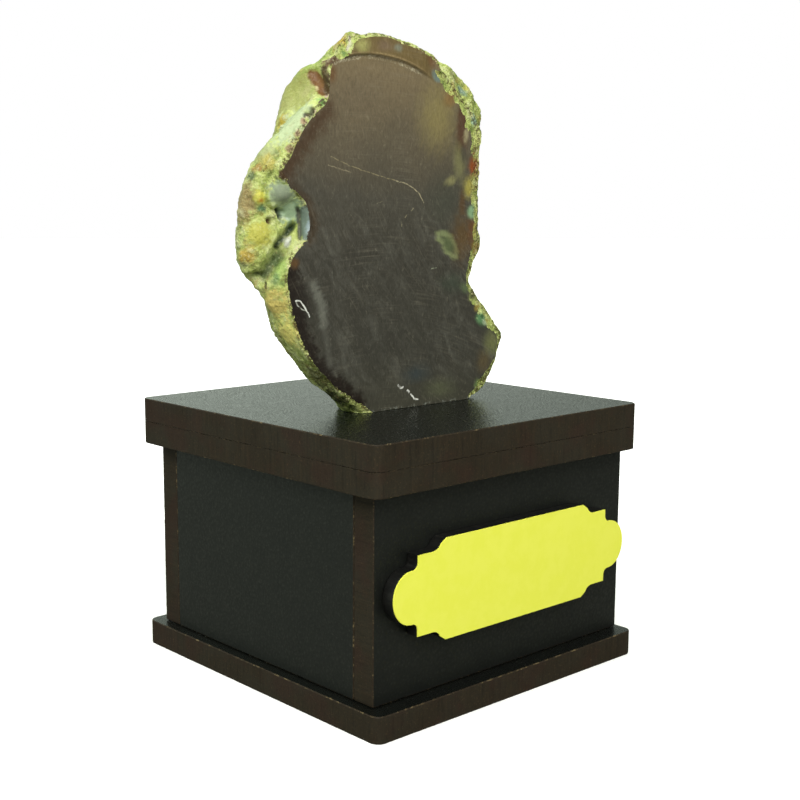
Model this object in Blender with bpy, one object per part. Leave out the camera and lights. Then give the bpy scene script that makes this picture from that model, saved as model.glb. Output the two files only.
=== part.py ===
"""A rough agate, sawn flat on one side, standing on a small black box.

The stand is laser-cut board: a closed box of four walls between a bottom board and a lid of two boards,
with an ornamental name plate on its front. Front is -Y and up is +Z. The origin is the middle of the bottom
board's underside. All sizes are in metres.
"""
import math

import bmesh
import bpy
from mathutils import Vector, noise

MM = 0.001

# Stand
BOARD = 3.0 * MM
LID_BOARD = 2.8 * MM
SQUARE = 43.0 * MM
CORNER_RADIUS = 1.2 * MM
BOX_WIDTH = 40.9 * MM
BOX_DEPTH = 38.8 * MM
WALL_HEIGHT = 22.8 * MM
EDGE_BREAK = 0.12 * MM
GLUE_LINE = 0.04 * MM
# The stand is glued up by hand, so the box and the lid sit slightly off the bottom board's middle.
BOX_OFFSET = (0.4 * MM, 0.2 * MM)
LID_OFFSET = (-0.2 * MM, 0.2 * MM)

# Name plate
PLATE_CORE = 1.5 * MM
PLATE_FACE = 0.15 * MM
PLATE_HALF_LENGTH = 19.1 * MM
PLATE_HALF_HEIGHT = 5.6 * MM
PLATE_SHOULDER = (15.6 * MM, 4.4 * MM)
PLATE_BROW = 12.2 * MM
PLATE_EAR_HEIGHT = 2.9 * MM
PLATE_CENTRE = (0.3 * MM, 14.6 * MM)

# Agate: the saw cut is a plane that faces the front. SAW_EDGE is the outline of the sawn face, seen from the
# front and counted anticlockwise from the foot: x and the height above the lid. GIRTH is where the rind is
# widest behind it: x, height, and the depth behind the saw cut. Both go once round POLE. The agate's sizes
# are in millimetres up to its last step, which scales it.
SAW_CUT_Y = -5.8 * MM
THICKNESS = 12.5
POLE = (-4.5, 20.5)
SAW_EDGE = (
    (-6.8, -0.3), (-2.5, -0.5), (2.5, -0.5), (7.4, 0.0), (9.8, 0.9), (11.4, 2.6), (12.9, 4.4), (13.4, 5.8),
    (13.8, 7.2), (13.0, 8.8), (11.7, 10.3), (9.4, 12.2), (7.9, 14.1), (8.0, 15.8), (9.4, 17.9), (9.5, 20.0),
    (9.3, 23.5), (9.1, 27.0), (9.3, 29.8), (9.3, 31.8), (8.2, 33.8), (6.8, 35.3), (4.9, 36.9), (3.0, 38.6),
    (1.9, 40.0), (-0.8, 41.0), (-3.6, 41.6), (-6.0, 42.1), (-8.6, 41.9), (-10.8, 41.5), (-12.5, 40.5),
    (-13.6, 39.0), (-14.3, 37.0), (-14.3, 35.0), (-15.6, 33.8), (-17.6, 32.2), (-19.0, 30.0), (-20.2, 28.2),
    (-20.8, 26.6), (-19.0, 25.2), (-17.4, 23.4), (-16.7, 21.6), (-17.3, 19.8), (-19.2, 18.4), (-20.0, 16.4),
    (-20.0, 14.2), (-19.3, 11.6), (-18.4, 9.2), (-16.4, 6.2), (-13.4, 3.6), (-10.0, 1.4),
)
GIRTH = (
    (-6.0, -1.6, 4.5), (2.0, -1.8, 5.0), (8.0, -0.8, 4.0), (12.0, 2.0, 2.5), (14.2, 5.0, 2.5),
    (14.6, 7.2, 2.0), (12.2, 10.6, 2.0), (8.8, 14.4, 2.0), (10.4, 17.9, 2.5), (10.8, 22.0, 3.0),
    (10.8, 27.0, 3.0), (11.1, 31.8, 2.5), (11.3, 34.4, 2.0), (9.8, 36.7, 1.8), (6.6, 38.8, 1.8),
    (3.4, 40.4, 1.8), (-0.4, 41.4, 2.0), (-5.8, 42.2, 2.0), (-10.8, 41.6, 1.2), (-12.6, 40.4, 0.8),
    (-14.3, 39.1, 2.1), (-15.8, 37.4, 4.6), (-16.2, 35.0, 5.2), (-17.0, 33.2, 4.0), (-18.4, 31.2, 2.5),
    (-20.4, 29.2, 2.8), (-21.9, 27.0, 3.4), (-23.0, 24.6, 3.8), (-22.9, 22.0, 3.8), (-23.0, 19.6, 3.4),
    (-23.4, 17.2, 4.0), (-22.2, 15.4, 3.4), (-21.1, 14.0, 2.7), (-20.1, 11.4, 2.2), (-18.5, 8.8, 1.5),
    (-16.2, 5.8, 1.0), (-13.2, 3.1, 1.2), (-10.0, 0.4, 2.5),
)

# Mesh rows of the agate, from the middle of the sawn face to the middle of the back
SEGMENTS = 132
FACE_ROWS = 8
RIND_ROWS = 6
BACK_ROWS = 13
# The back rounds off to a plain oval dome, so the outline's notches fade towards its middle
BACK_OVAL = (15.5, 20.5)
BACK_DEPTH = 2.8

# Lumps and hollows of the rind: middle as x, depth behind the saw cut and height above the lid, the radius
# that it fades over, and its height, less than nothing for a hollow, in millimetres.
LUMPS = (
    (-17.0, 3.4, 36.4, 4.0, -0.7),
    (-14.6, 4.2, 40.6, 3.0, -1.3),
    (-22.6, 4.6, 20.0, 4.2, 0.8),
    (-20.4, 3.0, 19.0, 1.7, -0.9),
    (-22.2, 3.6, 27.6, 2.6, 0.4),
    (-19.2, 1.2, 22.0, 2.6, -0.5),
    (9.6, 2.4, 35.4, 3.0, -0.4),
    (14.0, 3.0, 5.5, 3.0, 0.4),
    (2.0, 11.5, 29.0, 8.0, 1.1),
    (-12.0, 10.5, 14.0, 7.0, 0.9),
    (-8.0, 12.0, 34.0, 5.0, -0.9),
    (4.0, 11.0, 12.0, 6.0, -0.8),
    (-14.0, 10.0, 26.0, 4.5, -0.8),
)
# Rough relief of the rind: size of the feature and its height, in millimetres
RELIEF = ((7.0, 0.9), (3.6, 0.45))
EDGE_RELIEF = (1.6, 0.16)
RELIEF_START = Vector((3.1, 7.7, 1.9))


def material(name, colour, roughness, metallic=0.0):
    """A plain surface with the sub-part's own colour."""
    finish = bpy.data.materials.new(name)
    finish.use_nodes = True
    surface = finish.node_tree.nodes["Principled BSDF"]
    surface.inputs["Base Color"].default_value = (*colour, 1.0)
    surface.inputs["Roughness"].default_value = roughness
    surface.inputs["Metallic"].default_value = metallic
    return finish


def new_object(name, bm, place, finish):
    """Put a finished bmesh into the scene under its own name."""
    mesh = bpy.data.meshes.new(name)
    bm.to_mesh(mesh)
    bm.free()
    mesh.materials.append(finish)
    thing = bpy.data.objects.new(name, mesh)
    thing.location = place
    bpy.context.collection.objects.link(thing)
    return thing


def bevel_edges(bm, edges, width, segments):
    """Round a set of edges."""
    bmesh.ops.bevel(bm, geom=edges, offset=width, affect="EDGES", segments=segments, profile=0.5, material=-1)


def board(name, size, place, finish, corner=0.0):
    """A flat board that rises from its place, with its upright corners rounded if asked."""
    bm = bmesh.new()
    bmesh.ops.create_cube(bm, size=1.0)
    bmesh.ops.scale(bm, vec=Vector(size), verts=bm.verts)
    bmesh.ops.translate(bm, vec=Vector((0.0, 0.0, size[2] / 2)), verts=bm.verts)
    if corner:
        upright = [e for e in bm.edges if abs(e.verts[0].co.z - e.verts[1].co.z) > size[2] / 2]
        bevel_edges(bm, upright, corner, 5)
        rims = [e for e in bm.edges if e.is_manifold and e.calc_face_angle() > math.radians(80.0)]
    else:
        rims = list(bm.edges)
    bevel_edges(bm, rims, EDGE_BREAK, 1)
    return new_object(name, bm, place, finish)


def stand(board_black):
    """The lid, the box and the bottom board."""
    lid_x, lid_y = LID_OFFSET
    box_x, box_y = BOX_OFFSET
    wall_base = BOARD + GLUE_LINE
    wall_height = WALL_HEIGHT - 2 * GLUE_LINE
    lid_base = BOARD + WALL_HEIGHT
    square = (SQUARE, SQUARE)
    board("bottom_board", (*square, BOARD), (0.0, 0.0, 0.0), board_black, CORNER_RADIUS)
    lower_size = (*square, LID_BOARD - GLUE_LINE)
    board("lid_lower_board", lower_size, (lid_x, lid_y, lid_base), board_black, CORNER_RADIUS)
    top_place = (lid_x, lid_y, lid_base + LID_BOARD)
    board("lid_top_board", (*square, LID_BOARD), top_place, board_black, CORNER_RADIUS)
    for name, side in (("front_panel", -1), ("back_panel", 1)):
        y = box_y + side * (BOX_DEPTH - BOARD) / 2
        board(name, (BOX_WIDTH, BOARD, wall_height), (box_x, y, wall_base), board_black)
    side_depth = BOX_DEPTH - 2 * BOARD - 2 * GLUE_LINE
    for name, side in (("left_panel", -1), ("right_panel", 1)):
        x = box_x + side * (BOX_WIDTH - BOARD) / 2
        board(name, (BOARD, side_depth, wall_height), (x, box_y, wall_base), board_black)


def arc(centre, radius, start, end, steps):
    """Points along an arc, with its angles in degrees."""
    points = []
    for step in range(steps + 1):
        angle = math.radians(start + (end - start) * step / steps)
        points.append((centre[0] + radius[0] * math.cos(angle), centre[1] + radius[1] * math.sin(angle)))
    return points


def plate_quarter():
    """The plate's outline from the end of its ear to the middle of its top edge."""
    shoulder_x, shoulder_z = PLATE_SHOULDER
    ear_x = shoulder_x + 0.9 * MM
    ear = arc((ear_x, 0.0), (PLATE_HALF_LENGTH - ear_x, PLATE_EAR_HEIGHT), 0.0, 80.0, 7)
    scoop_radius = 0.75 * MM
    scoop = arc((shoulder_x + scoop_radius, PLATE_EAR_HEIGHT + scoop_radius), (scoop_radius, scoop_radius),
                -80.0, -180.0, 4)
    brow_rise = PLATE_HALF_HEIGHT - shoulder_z
    brow_height = brow_rise * 0.75
    brow_scoop = arc((PLATE_BROW + brow_rise, shoulder_z + brow_height), (brow_rise, brow_height),
                     -90.0, -165.0, 4)
    brow = (PLATE_BROW - 0.8 * MM, PLATE_HALF_HEIGHT)
    return ear + scoop + [(shoulder_x, shoulder_z)] + brow_scoop + [brow]


def plate_layer(name, front_y, thickness, finish):
    """One layer of the name plate, with its back on the given plane less its thickness."""
    quarter = plate_quarter()
    upper = quarter + [(-x, z) for x, z in reversed(quarter)]
    outline = upper + [(x, -z) for x, z in reversed(upper[1:-1])]
    bm = bmesh.new()
    ring = [bm.verts.new((x, 0.0, z)) for x, z in outline]
    front = bm.faces.new(ring)
    body = bmesh.ops.extrude_face_region(bm, geom=[front])
    moved = [v for v in body["geom"] if isinstance(v, bmesh.types.BMVert)]
    bmesh.ops.translate(bm, vec=Vector((0.0, thickness, 0.0)), verts=moved)
    bmesh.ops.recalc_face_normals(bm, faces=bm.faces)
    return new_object(name, bm, (PLATE_CENTRE[0], front_y, PLATE_CENTRE[1]), finish)


def name_plate(core_black, face_yellow):
    """The black plate on the front panel, with its yellow face."""
    panel_y = BOX_OFFSET[1] - BOX_DEPTH / 2
    core_y = panel_y - GLUE_LINE - PLATE_CORE
    plate_layer("name_plate", core_y, PLATE_CORE, core_black)
    plate_layer("name_plate_face", core_y - GLUE_LINE - PLATE_FACE, PLATE_FACE, face_yellow)


def round_the_pole(points, count):
    """Distance from the pole, and any further values, at evenly turned steps of a smooth closed curve."""
    total = len(points)
    steps = 12
    samples = []
    for i in range(total):
        a, b, c, d = (Vector(points[(i + k) % total]) for k in (-1, 0, 1, 2))
        for step in range(steps):
            t = step / steps
            samples.append(0.5 * (2 * b + (c - a) * t + (2 * a - 5 * b + 4 * c - d) * t * t
                                  + (3 * b - a - 3 * c + d) * t * t * t))
    turns = [math.atan2(s[1] - POLE[1], s[0] - POLE[0]) for s in samples]
    values = []
    for k in range(count):
        goal = math.remainder(math.tau * k / count, math.tau)
        for i, turn in enumerate(turns):
            step = math.remainder(turns[(i + 1) % len(turns)] - turn, math.tau)
            ahead = math.remainder(goal - turn, math.tau)
            if step > 0.0 and 0.0 <= ahead < step:
                here = samples[i].lerp(samples[(i + 1) % len(samples)], ahead / step)
                values.append((math.hypot(here[0] - POLE[0], here[1] - POLE[1]), *here[2:]))
                break
    return values


def agate_point(turn, saw, girth, row):
    """Where one row of the agate passes one segment: x, depth and height in millimetres."""
    wide, depth = girth
    behind = 0.0
    if row <= FACE_ROWS:
        reach = saw * (row / FACE_ROWS) ** 0.8
    elif row <= FACE_ROWS + RIND_ROWS:
        share = (row - FACE_ROWS) / RIND_ROWS
        reach = saw + (wide - saw) * (1.0 - (1.0 - share) ** 1.7)
        behind = depth * share
    else:
        share = (row - FACE_ROWS - RIND_ROWS) / BACK_ROWS
        bend = math.pi / 2 * share
        fade = min(1.0, 1.6 * share)
        oval = 1.0 / math.hypot(math.cos(turn) / BACK_OVAL[0], math.sin(turn) / BACK_OVAL[1])
        reach = (wide + (oval - wide) * fade) * math.cos(bend)
        depth += (BACK_DEPTH - depth) * fade
        behind = depth + (THICKNESS - depth) * math.sin(bend)
    return Vector((POLE[0] + reach * math.cos(turn), behind, POLE[1] + reach * math.sin(turn)))


def rind_height(place):
    """How far the rind stands out at a place: its lumps and hollows, and then its rough relief."""
    height = 0.0
    for x, depth, z, radius, rise in LUMPS:
        near = (place - Vector((x, depth, z))).length / radius
        if near < 1.0:
            height += rise * (1.0 - near * near) ** 2
    for size, rise in RELIEF:
        height += noise.noise((place + RELIEF_START) / size) * rise
    return height


def roughen(bm, row_of):
    """Roughen the rind and the saw cut's edge, and leave the sawn face flat."""
    bm.normal_update()
    moves = {}
    for vert in bm.verts:
        if row_of[vert] == FACE_ROWS:
            size, rise = EDGE_RELIEF
            shift = noise.noise_vector((vert.co + RELIEF_START) / size) * rise
            moves[vert] = Vector((shift.x, 0.0, shift.z))
        elif row_of[vert] > FACE_ROWS:
            moves[vert] = vert.normal * rind_height(vert.co)
    for vert, move in moves.items():
        vert.co += move


def agate(finish):
    """The stone: a ball reshaped row by row, roughened, and flat where it stands."""
    rows = FACE_ROWS + RIND_ROWS + BACK_ROWS
    saw = round_the_pole(SAW_EDGE, SEGMENTS)
    girth = round_the_pole(GIRTH, SEGMENTS)
    bm = bmesh.new()
    bmesh.ops.create_uvsphere(bm, u_segments=SEGMENTS, v_segments=rows, radius=1.0)
    row_of = {}
    for vert in bm.verts:
        row = round(math.acos(max(-1.0, min(1.0, vert.co.z))) * rows / math.pi)
        segment = round(math.atan2(vert.co.y, vert.co.x) * SEGMENTS / math.tau) % SEGMENTS
        turn = math.tau * segment / SEGMENTS
        vert.co = agate_point(turn, saw[segment][0], girth[segment], row)
        row_of[vert] = row
    roughen(bm, row_of)
    bmesh.ops.bisect_plane(bm, geom=bm.verts[:] + bm.edges[:] + bm.faces[:], plane_co=(0.0, 0.0, 0.0),
                           plane_no=(0.0, 0.0, 1.0), clear_inner=True)
    bmesh.ops.holes_fill(bm, edges=[e for e in bm.edges if e.is_boundary], sides=0)
    bmesh.ops.triangulate(bm, faces=bm.faces)
    bmesh.ops.scale(bm, vec=Vector((MM, MM, MM)), verts=bm.verts)
    lid_top = BOARD + WALL_HEIGHT + 2 * LID_BOARD
    return new_object("agate", bm, (LID_OFFSET[0], SAW_CUT_Y, lid_top + GLUE_LINE), finish)


def main():
    """Clear the file and model every sub-part."""
    for thing in list(bpy.data.objects):
        bpy.data.objects.remove(thing)
    stand(material("black board", (0.02, 0.022, 0.021), 0.45))
    core_black = material("plate black", (0.008, 0.008, 0.008), 0.3)
    name_plate(core_black, material("plate yellow", (0.80, 0.83, 0.08), 0.35))
    agate(material("agate", (0.16, 0.13, 0.09), 0.3))


main()
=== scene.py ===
"""The looks of a rough agate that stands on a small black box.

The stone is sawn flat in front and keeps its natural rind everywhere else. The stand is a closed box of
laser-cut black board, with a yellow name plate that is left bare. Everything is in metres, in the frame of the
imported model: the front is -Y, up is +Z, and the origin is the middle of the bottom board's underside. The
stone's own places are in millimetres: x, the depth behind the saw cut, and the height above the lid.
"""
import logging
import math
from collections.abc import Callable, Iterable, Sequence
from dataclasses import dataclass
from enum import Enum

import bmesh
import bpy
import numpy as np
from mathutils import Matrix, Vector, noise
from mathutils.kdtree import KDTree


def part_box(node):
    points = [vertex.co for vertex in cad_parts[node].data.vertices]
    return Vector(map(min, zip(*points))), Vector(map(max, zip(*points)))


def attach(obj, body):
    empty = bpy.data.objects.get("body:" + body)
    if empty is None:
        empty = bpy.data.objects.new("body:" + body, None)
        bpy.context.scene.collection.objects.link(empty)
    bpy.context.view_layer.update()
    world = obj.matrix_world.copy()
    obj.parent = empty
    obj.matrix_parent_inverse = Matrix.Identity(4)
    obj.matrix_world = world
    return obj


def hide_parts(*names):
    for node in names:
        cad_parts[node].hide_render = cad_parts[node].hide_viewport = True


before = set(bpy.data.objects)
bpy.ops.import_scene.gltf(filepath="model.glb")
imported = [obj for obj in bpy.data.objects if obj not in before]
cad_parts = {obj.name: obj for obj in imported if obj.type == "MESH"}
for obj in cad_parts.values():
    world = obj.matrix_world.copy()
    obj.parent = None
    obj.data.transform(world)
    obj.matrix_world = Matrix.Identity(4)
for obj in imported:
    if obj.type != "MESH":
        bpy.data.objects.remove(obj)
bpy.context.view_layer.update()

LOG = logging.getLogger("agate")
MM = 0.001

Place = tuple[float, float, float]
Colour = tuple[float, float, float, float]
Socket = bpy.types.NodeSocket
Value = float | Sequence[float] | Socket


def colour(code: str) -> Colour:
    """Turn a written colour into the linear one that shaders take.

    Args:
        code: The colour as a hash sign and six hexadecimal digits.

    Returns:
        Red, green and blue, linear, and a full alpha.
    """
    parts = [int(code[i:i + 2], 16) / 255 for i in (1, 3, 5)]
    linear = [p / 12.92 if p <= 0.04045 else ((p + 0.055) / 1.055) ** 2.4 for p in parts]
    return (linear[0], linear[1], linear[2], 1.0)


def smooth_step(value: np.ndarray, low: float, high: float) -> np.ndarray:
    """Rise smoothly from 0 at low to 1 at high.

    Args:
        value: The numbers to map.
        low: Where the rise starts. It may lie above high, and then the step falls.
        high: Where it ends.

    Returns:
        One number from 0 to 1 for each value.
    """
    share = np.clip((value - low) / (high - low), 0.0, 1.0)
    return share * share * (3.0 - 2.0 * share)


class NodeBench:
    """Adds nodes to one node tree and joins them."""

    def __init__(self, tree: bpy.types.NodeTree) -> None:
        """Work on a node tree."""
        self.tree = tree

    def feed(self, socket: Socket, value: Value) -> None:
        """Link a socket to another one, or set its own value."""
        if isinstance(value, Socket):
            self.tree.links.new(value, socket)
        else:
            socket.default_value = value

    def node(self, kind: str, inputs: dict[str | int, Value] | None = None, **settings: object) -> bpy.types.Node:
        """Add a node.

        Args:
            kind: The node's type name.
            inputs: Its inputs by name or number, each a value or a socket to link.
            **settings: Its own properties.

        Returns:
            The new node.
        """
        made = self.tree.nodes.new(kind)
        for name, value in settings.items():
            setattr(made, name, value)
        for key, value in (inputs or {}).items():
            self.feed(made.inputs[key], value)
        return made

    def math(self, operation: str, a: Value, b: Value = 0.0, clamp: bool = False) -> Socket:
        """Calculate with one or two numbers."""
        return self.node("ShaderNodeMath", {0: a, 1: b}, operation=operation, use_clamp=clamp).outputs[0]

    def vector(self, operation: str, a: Value, b: Value = (0.0, 0.0, 0.0), scale: Value = 1.0) -> bpy.types.Node:
        """Calculate with vectors, and give back the node, because its outputs differ."""
        made = self.node("ShaderNodeVectorMath", {0: a, 1: b}, operation=operation)
        self.feed(made.inputs[3], scale)
        return made

    def mapped(self, vector: Value, place: Value = (0.0, 0.0, 0.0), turn: Value = (0.0, 0.0, 0.0),
               scale: Value = (1.0, 1.0, 1.0), kind: str = "POINT") -> Socket:
        """Move, turn and scale a vector."""
        inputs = {"Vector": vector, "Location": place, "Rotation": turn, "Scale": scale}
        return self.node("ShaderNodeMapping", inputs, vector_type=kind).outputs[0]

    def noise(self, vector: Value, scale: Value, detail: float = 3.0, roughness: float = 0.55,
              distortion: float = 0.0) -> bpy.types.Node:
        """Add a noise texture."""
        inputs = {"Vector": vector, "Scale": scale, "Detail": detail, "Roughness": roughness,
                  "Distortion": distortion}
        return self.node("ShaderNodeTexNoise", inputs)

    def cells(self, vector: Value, scale: Value, feature: str = "F1") -> Socket:
        """Add a cell texture, and give back the distance."""
        made = self.node("ShaderNodeTexVoronoi", feature=feature)
        self.feed(made.inputs["Vector"], vector)
        self.feed(made.inputs["Scale"], scale)
        return made.outputs[0]

    def rise(self, value: Value, low: Value, high: Value, bottom: Value = 0.0, top: Value = 1.0) -> Socket:
        """Map a number smoothly from one range to another."""
        inputs = {"Value": value, "From Min": low, "From Max": high, "To Min": bottom, "To Max": top}
        return self.node("ShaderNodeMapRange", inputs, interpolation_type="SMOOTHSTEP").outputs[0]

    def blend(self, amount: Value, a: Value, b: Value, kind: str = "MIX") -> Socket:
        """Mix two colours."""
        return self.node("ShaderNodeMix", {0: amount, 6: a, 7: b}, data_type="RGBA", blend_type=kind).outputs[2]

    def ramp(self, value: Value, stops: Sequence[tuple[float, str]]) -> Socket:
        """Turn a number into a colour through named stops."""
        made = self.node("ShaderNodeValToRGB", {0: value})
        elements = made.color_ramp.elements
        while len(elements) < len(stops):
            elements.new(0.5)
        for element, (position, code) in zip(elements, stops):
            element.position = position
            element.color = colour(code)
        return made.outputs[0]

    def group(self, tree: bpy.types.NodeTree, inputs: dict[str, Value]) -> bpy.types.Node:
        """Place a node group."""
        made = self.node("ShaderNodeGroup", node_tree=tree)
        for name, value in inputs.items():
            self.feed(made.inputs[name], value)
        return made

    def object_place(self) -> Socket:
        """Give the object's own coordinates, in metres."""
        return self.node("ShaderNodeTexCoord").outputs["Object"]


class Effects:
    """The effects that several finishes share, as node groups."""

    def __init__(self) -> None:
        """Build every group once."""
        self.stroke = self._stroke()
        self.warp = self._warp()
        self.grain = self._grain()
        self.cut_lines = self._cut_lines()
        self.dust = self._dust()

    @staticmethod
    def _start(name: str, takes: dict[str, str], gives: dict[str, str]) -> tuple[NodeBench, bpy.types.Node]:
        """Start a node group with its sockets."""
        tree = bpy.data.node_groups.new(name, "ShaderNodeTree")
        for direction, sockets in (("INPUT", takes), ("OUTPUT", gives)):
            for socket, kind in sockets.items():
                tree.interface.new_socket(name=socket, in_out=direction, socket_type=f"NodeSocket{kind}")
        return NodeBench(tree), tree.nodes.new("NodeGroupInput")

    @staticmethod
    def _end(bench: NodeBench, **values: Value) -> bpy.types.NodeTree:
        """Join a group's results to its outputs."""
        out = bench.tree.nodes.new("NodeGroupOutput")
        for name, value in values.items():
            bench.feed(out.inputs[name], value)
        return bench.tree

    def _stroke(self) -> bpy.types.NodeTree:
        """Make the mask of a straight stroke from a start, along its run."""
        takes = {"Place": "Vector", "Start": "Vector", "Run": "Vector", "Width": "Float", "Core": "Float"}
        bench, given = self._start("stroke", takes, {"Mask": "Float"})
        run = given.outputs["Run"]
        ahead = bench.vector("SUBTRACT", given.outputs["Place"], given.outputs["Start"]).outputs[0]
        along = bench.vector("DOT_PRODUCT", ahead, run).outputs["Value"]
        whole = bench.vector("DOT_PRODUCT", run, run).outputs["Value"]
        share = bench.math("DIVIDE", along, whole, clamp=True)
        foot = bench.vector("SCALE", run, scale=share).outputs[0]
        away = bench.vector("DISTANCE", ahead, foot).outputs["Value"]
        return self._end(bench, Mask=bench.rise(away, given.outputs["Width"], given.outputs["Core"]))

    def _warp(self) -> bpy.types.NodeTree:
        """Push places about, so that patterns on them lose their straight outlines."""
        takes = {"Place": "Vector", "Scale": "Float", "Amount": "Float"}
        bench, given = self._start("warp", takes, {"Place": "Vector"})
        push = bench.noise(given.outputs["Place"], given.outputs["Scale"], 3.0, 0.6).outputs["Color"]
        centred = bench.vector("SUBTRACT", push, (0.5, 0.5, 0.5)).outputs[0]
        scaled = bench.vector("SCALE", centred, scale=given.outputs["Amount"]).outputs[0]
        return self._end(bench, Place=bench.vector("ADD", given.outputs["Place"], scaled).outputs[0])

    def _grain(self) -> bpy.types.NodeTree:
        """Make a fine pebbled grain, such as that of faced board or of a matt rind."""
        takes = {"Place": "Vector", "Scale": "Float", "Sharpness": "Float"}
        bench, given = self._start("grain", takes, {"Height": "Float", "Tone": "Float"})
        place, scale = given.outputs["Place"], given.outputs["Scale"]
        cells = bench.cells(place, scale, "SMOOTH_F1")
        fine = bench.noise(place, bench.math("MULTIPLY", scale, 2.3), 2.0).outputs[0]
        pebbles = bench.rise(cells, 0.05, 0.75, 1.0, 0.0)
        height = bench.math("MULTIPLY_ADD", fine, given.outputs["Sharpness"])
        bench.feed(height.node.inputs[2], pebbles)
        tone = bench.noise(place, bench.math("MULTIPLY", scale, 0.12), 4.0, 0.6).outputs[0]
        return self._end(bench, Height=height, Tone=tone)

    def _cut_lines(self) -> bpy.types.NodeTree:
        """Make the fine lines that a laser leaves on a cut edge; Squeeze is small along the beam."""
        takes = {"Place": "Vector", "Squeeze": "Vector", "Scale": "Float"}
        bench, given = self._start("laser lines", takes, {"Lines": "Float", "Scorch": "Float"})
        flat = bench.vector("MULTIPLY", given.outputs["Place"], given.outputs["Squeeze"]).outputs[0]
        lines = bench.noise(flat, given.outputs["Scale"], 4.0, 0.65).outputs[0]
        scorch = bench.noise(given.outputs["Place"], bench.math("MULTIPLY", given.outputs["Scale"], 0.08),
                             3.0, 0.6).outputs[0]
        return self._end(bench, Lines=lines, Scorch=scorch)

    def _dust(self) -> bpy.types.NodeTree:
        """Make the mask of sparse small specks."""
        takes = {"Place": "Vector", "Scale": "Float", "Amount": "Float"}
        bench, given = self._start("dust", takes, {"Specks": "Float"})
        place, scale = given.outputs["Place"], given.outputs["Scale"]
        dots = bench.rise(bench.cells(place, scale), 0.16, 0.06)
        where = bench.noise(place, bench.math("MULTIPLY", scale, 0.37), 2.0).outputs[0]
        few = bench.rise(where, bench.math("SUBTRACT", 1.0, given.outputs["Amount"]), 1.0)
        return self._end(bench, Specks=bench.math("MULTIPLY", dots, few))


def distance_to_line(places: np.ndarray, points: Sequence[Place]) -> np.ndarray:
    """Give the distance of each place from a broken line.

    Args:
        places: The places, one row each.
        points: The line's corners.

    Returns:
        One distance for each place.
    """
    nearest = np.full(len(places), 1e9)
    for start, end in zip(points, points[1:]):
        run = np.array(end) - np.array(start)
        ahead = places - np.array(start)
        share = np.clip(ahead @ run / (run @ run), 0.0, 1.0)
        nearest = np.minimum(nearest, np.linalg.norm(ahead - share[:, None] * run, axis=1))
    return nearest


@dataclass(frozen=True)
class Patch:
    """A soft patch of another colour in the stone.

    The centre is x, depth and height in millimetres, the reach is its half size each way, and the turn is in
    degrees, anticlockwise seen from the front. Softness is the share of the reach over which it fades.
    """

    name: str
    colour: str
    centre: Place
    reach: Place
    turn: float = 0.0
    softness: float = 0.6
    strength: float = 1.0

    def cover(self, places: np.ndarray, fray: np.ndarray) -> np.ndarray:
        """Give how much it covers each place; the fray tears its border."""
        turn = math.radians(self.turn)
        away = places - np.array(self.centre)
        across = away[:, 0] * math.cos(turn) + away[:, 2] * math.sin(turn)
        upward = away[:, 2] * math.cos(turn) - away[:, 0] * math.sin(turn)
        scaled = np.stack((across, away[:, 1], upward), axis=1) / np.array(self.reach)
        return self.strength * smooth_step(1.0 + fray - np.linalg.norm(scaled, axis=1), 0.0, self.softness)


@dataclass(frozen=True)
class Band:
    """A band of another colour that follows a line, in millimetres."""

    name: str
    colour: str
    points: tuple[Place, ...]
    width: float
    core: float = 0.0
    strength: float = 1.0

    def cover(self, places: np.ndarray, fray: np.ndarray) -> np.ndarray:
        """Give how much it covers each place; the fray tears its border."""
        away = distance_to_line(places, self.points) - 0.5 * self.width * fray
        return self.strength * smooth_step(away, self.width, self.core)


def painted(places: np.ndarray, marks: Iterable[Patch | Band], fray: np.ndarray,
            under: np.ndarray | None = None) -> np.ndarray:
    """Lay marks over one another in their order.

    Args:
        places: The places, one row each.
        marks: The marks.
        fray: How much the marks' borders are torn at each place.
        under: The paint below them.

    Returns:
        Red, green and blue, multiplied by the cover, and the cover, one row for each place.
    """
    paint = np.zeros((len(places), 4)) if under is None else under
    for mark in marks:
        cover = mark.cover(places, fray)[:, None]
        paint = paint * (1.0 - cover) + np.array(colour(mark.colour)) * cover
    return paint


@dataclass(frozen=True)
class Scratch:
    """A fine pale scratch or chip that follows a line on the sawn face, in millimetres."""

    name: str
    colour: str
    points: tuple[Place, ...]
    width: float
    core: float = 0.0
    strength: float = 1.0

    def mask(self, bench: NodeBench, effects: Effects, place: Socket) -> Socket:
        """Place the scratch in a material, one stroke for each stretch, and give its mask."""
        mask: Value = 0.0
        for start, end in zip(self.points, self.points[1:]):
            run = tuple(b - a for a, b in zip(start, end))
            made = bench.group(effects.stroke, {
                "Place": place, "Start": start, "Run": run, "Width": self.width, "Core": self.core})
            made.label = self.name
            mask = bench.math("MAXIMUM", mask, made.outputs[0])
        return bench.math("MULTIPLY", mask, self.strength)


def flat(*points: tuple[float, float]) -> tuple[Place, ...]:
    """Give points of the sawn face, written as x and height, their depth of nothing."""
    return tuple((x, 0.0, z) for x, z in points)


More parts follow.
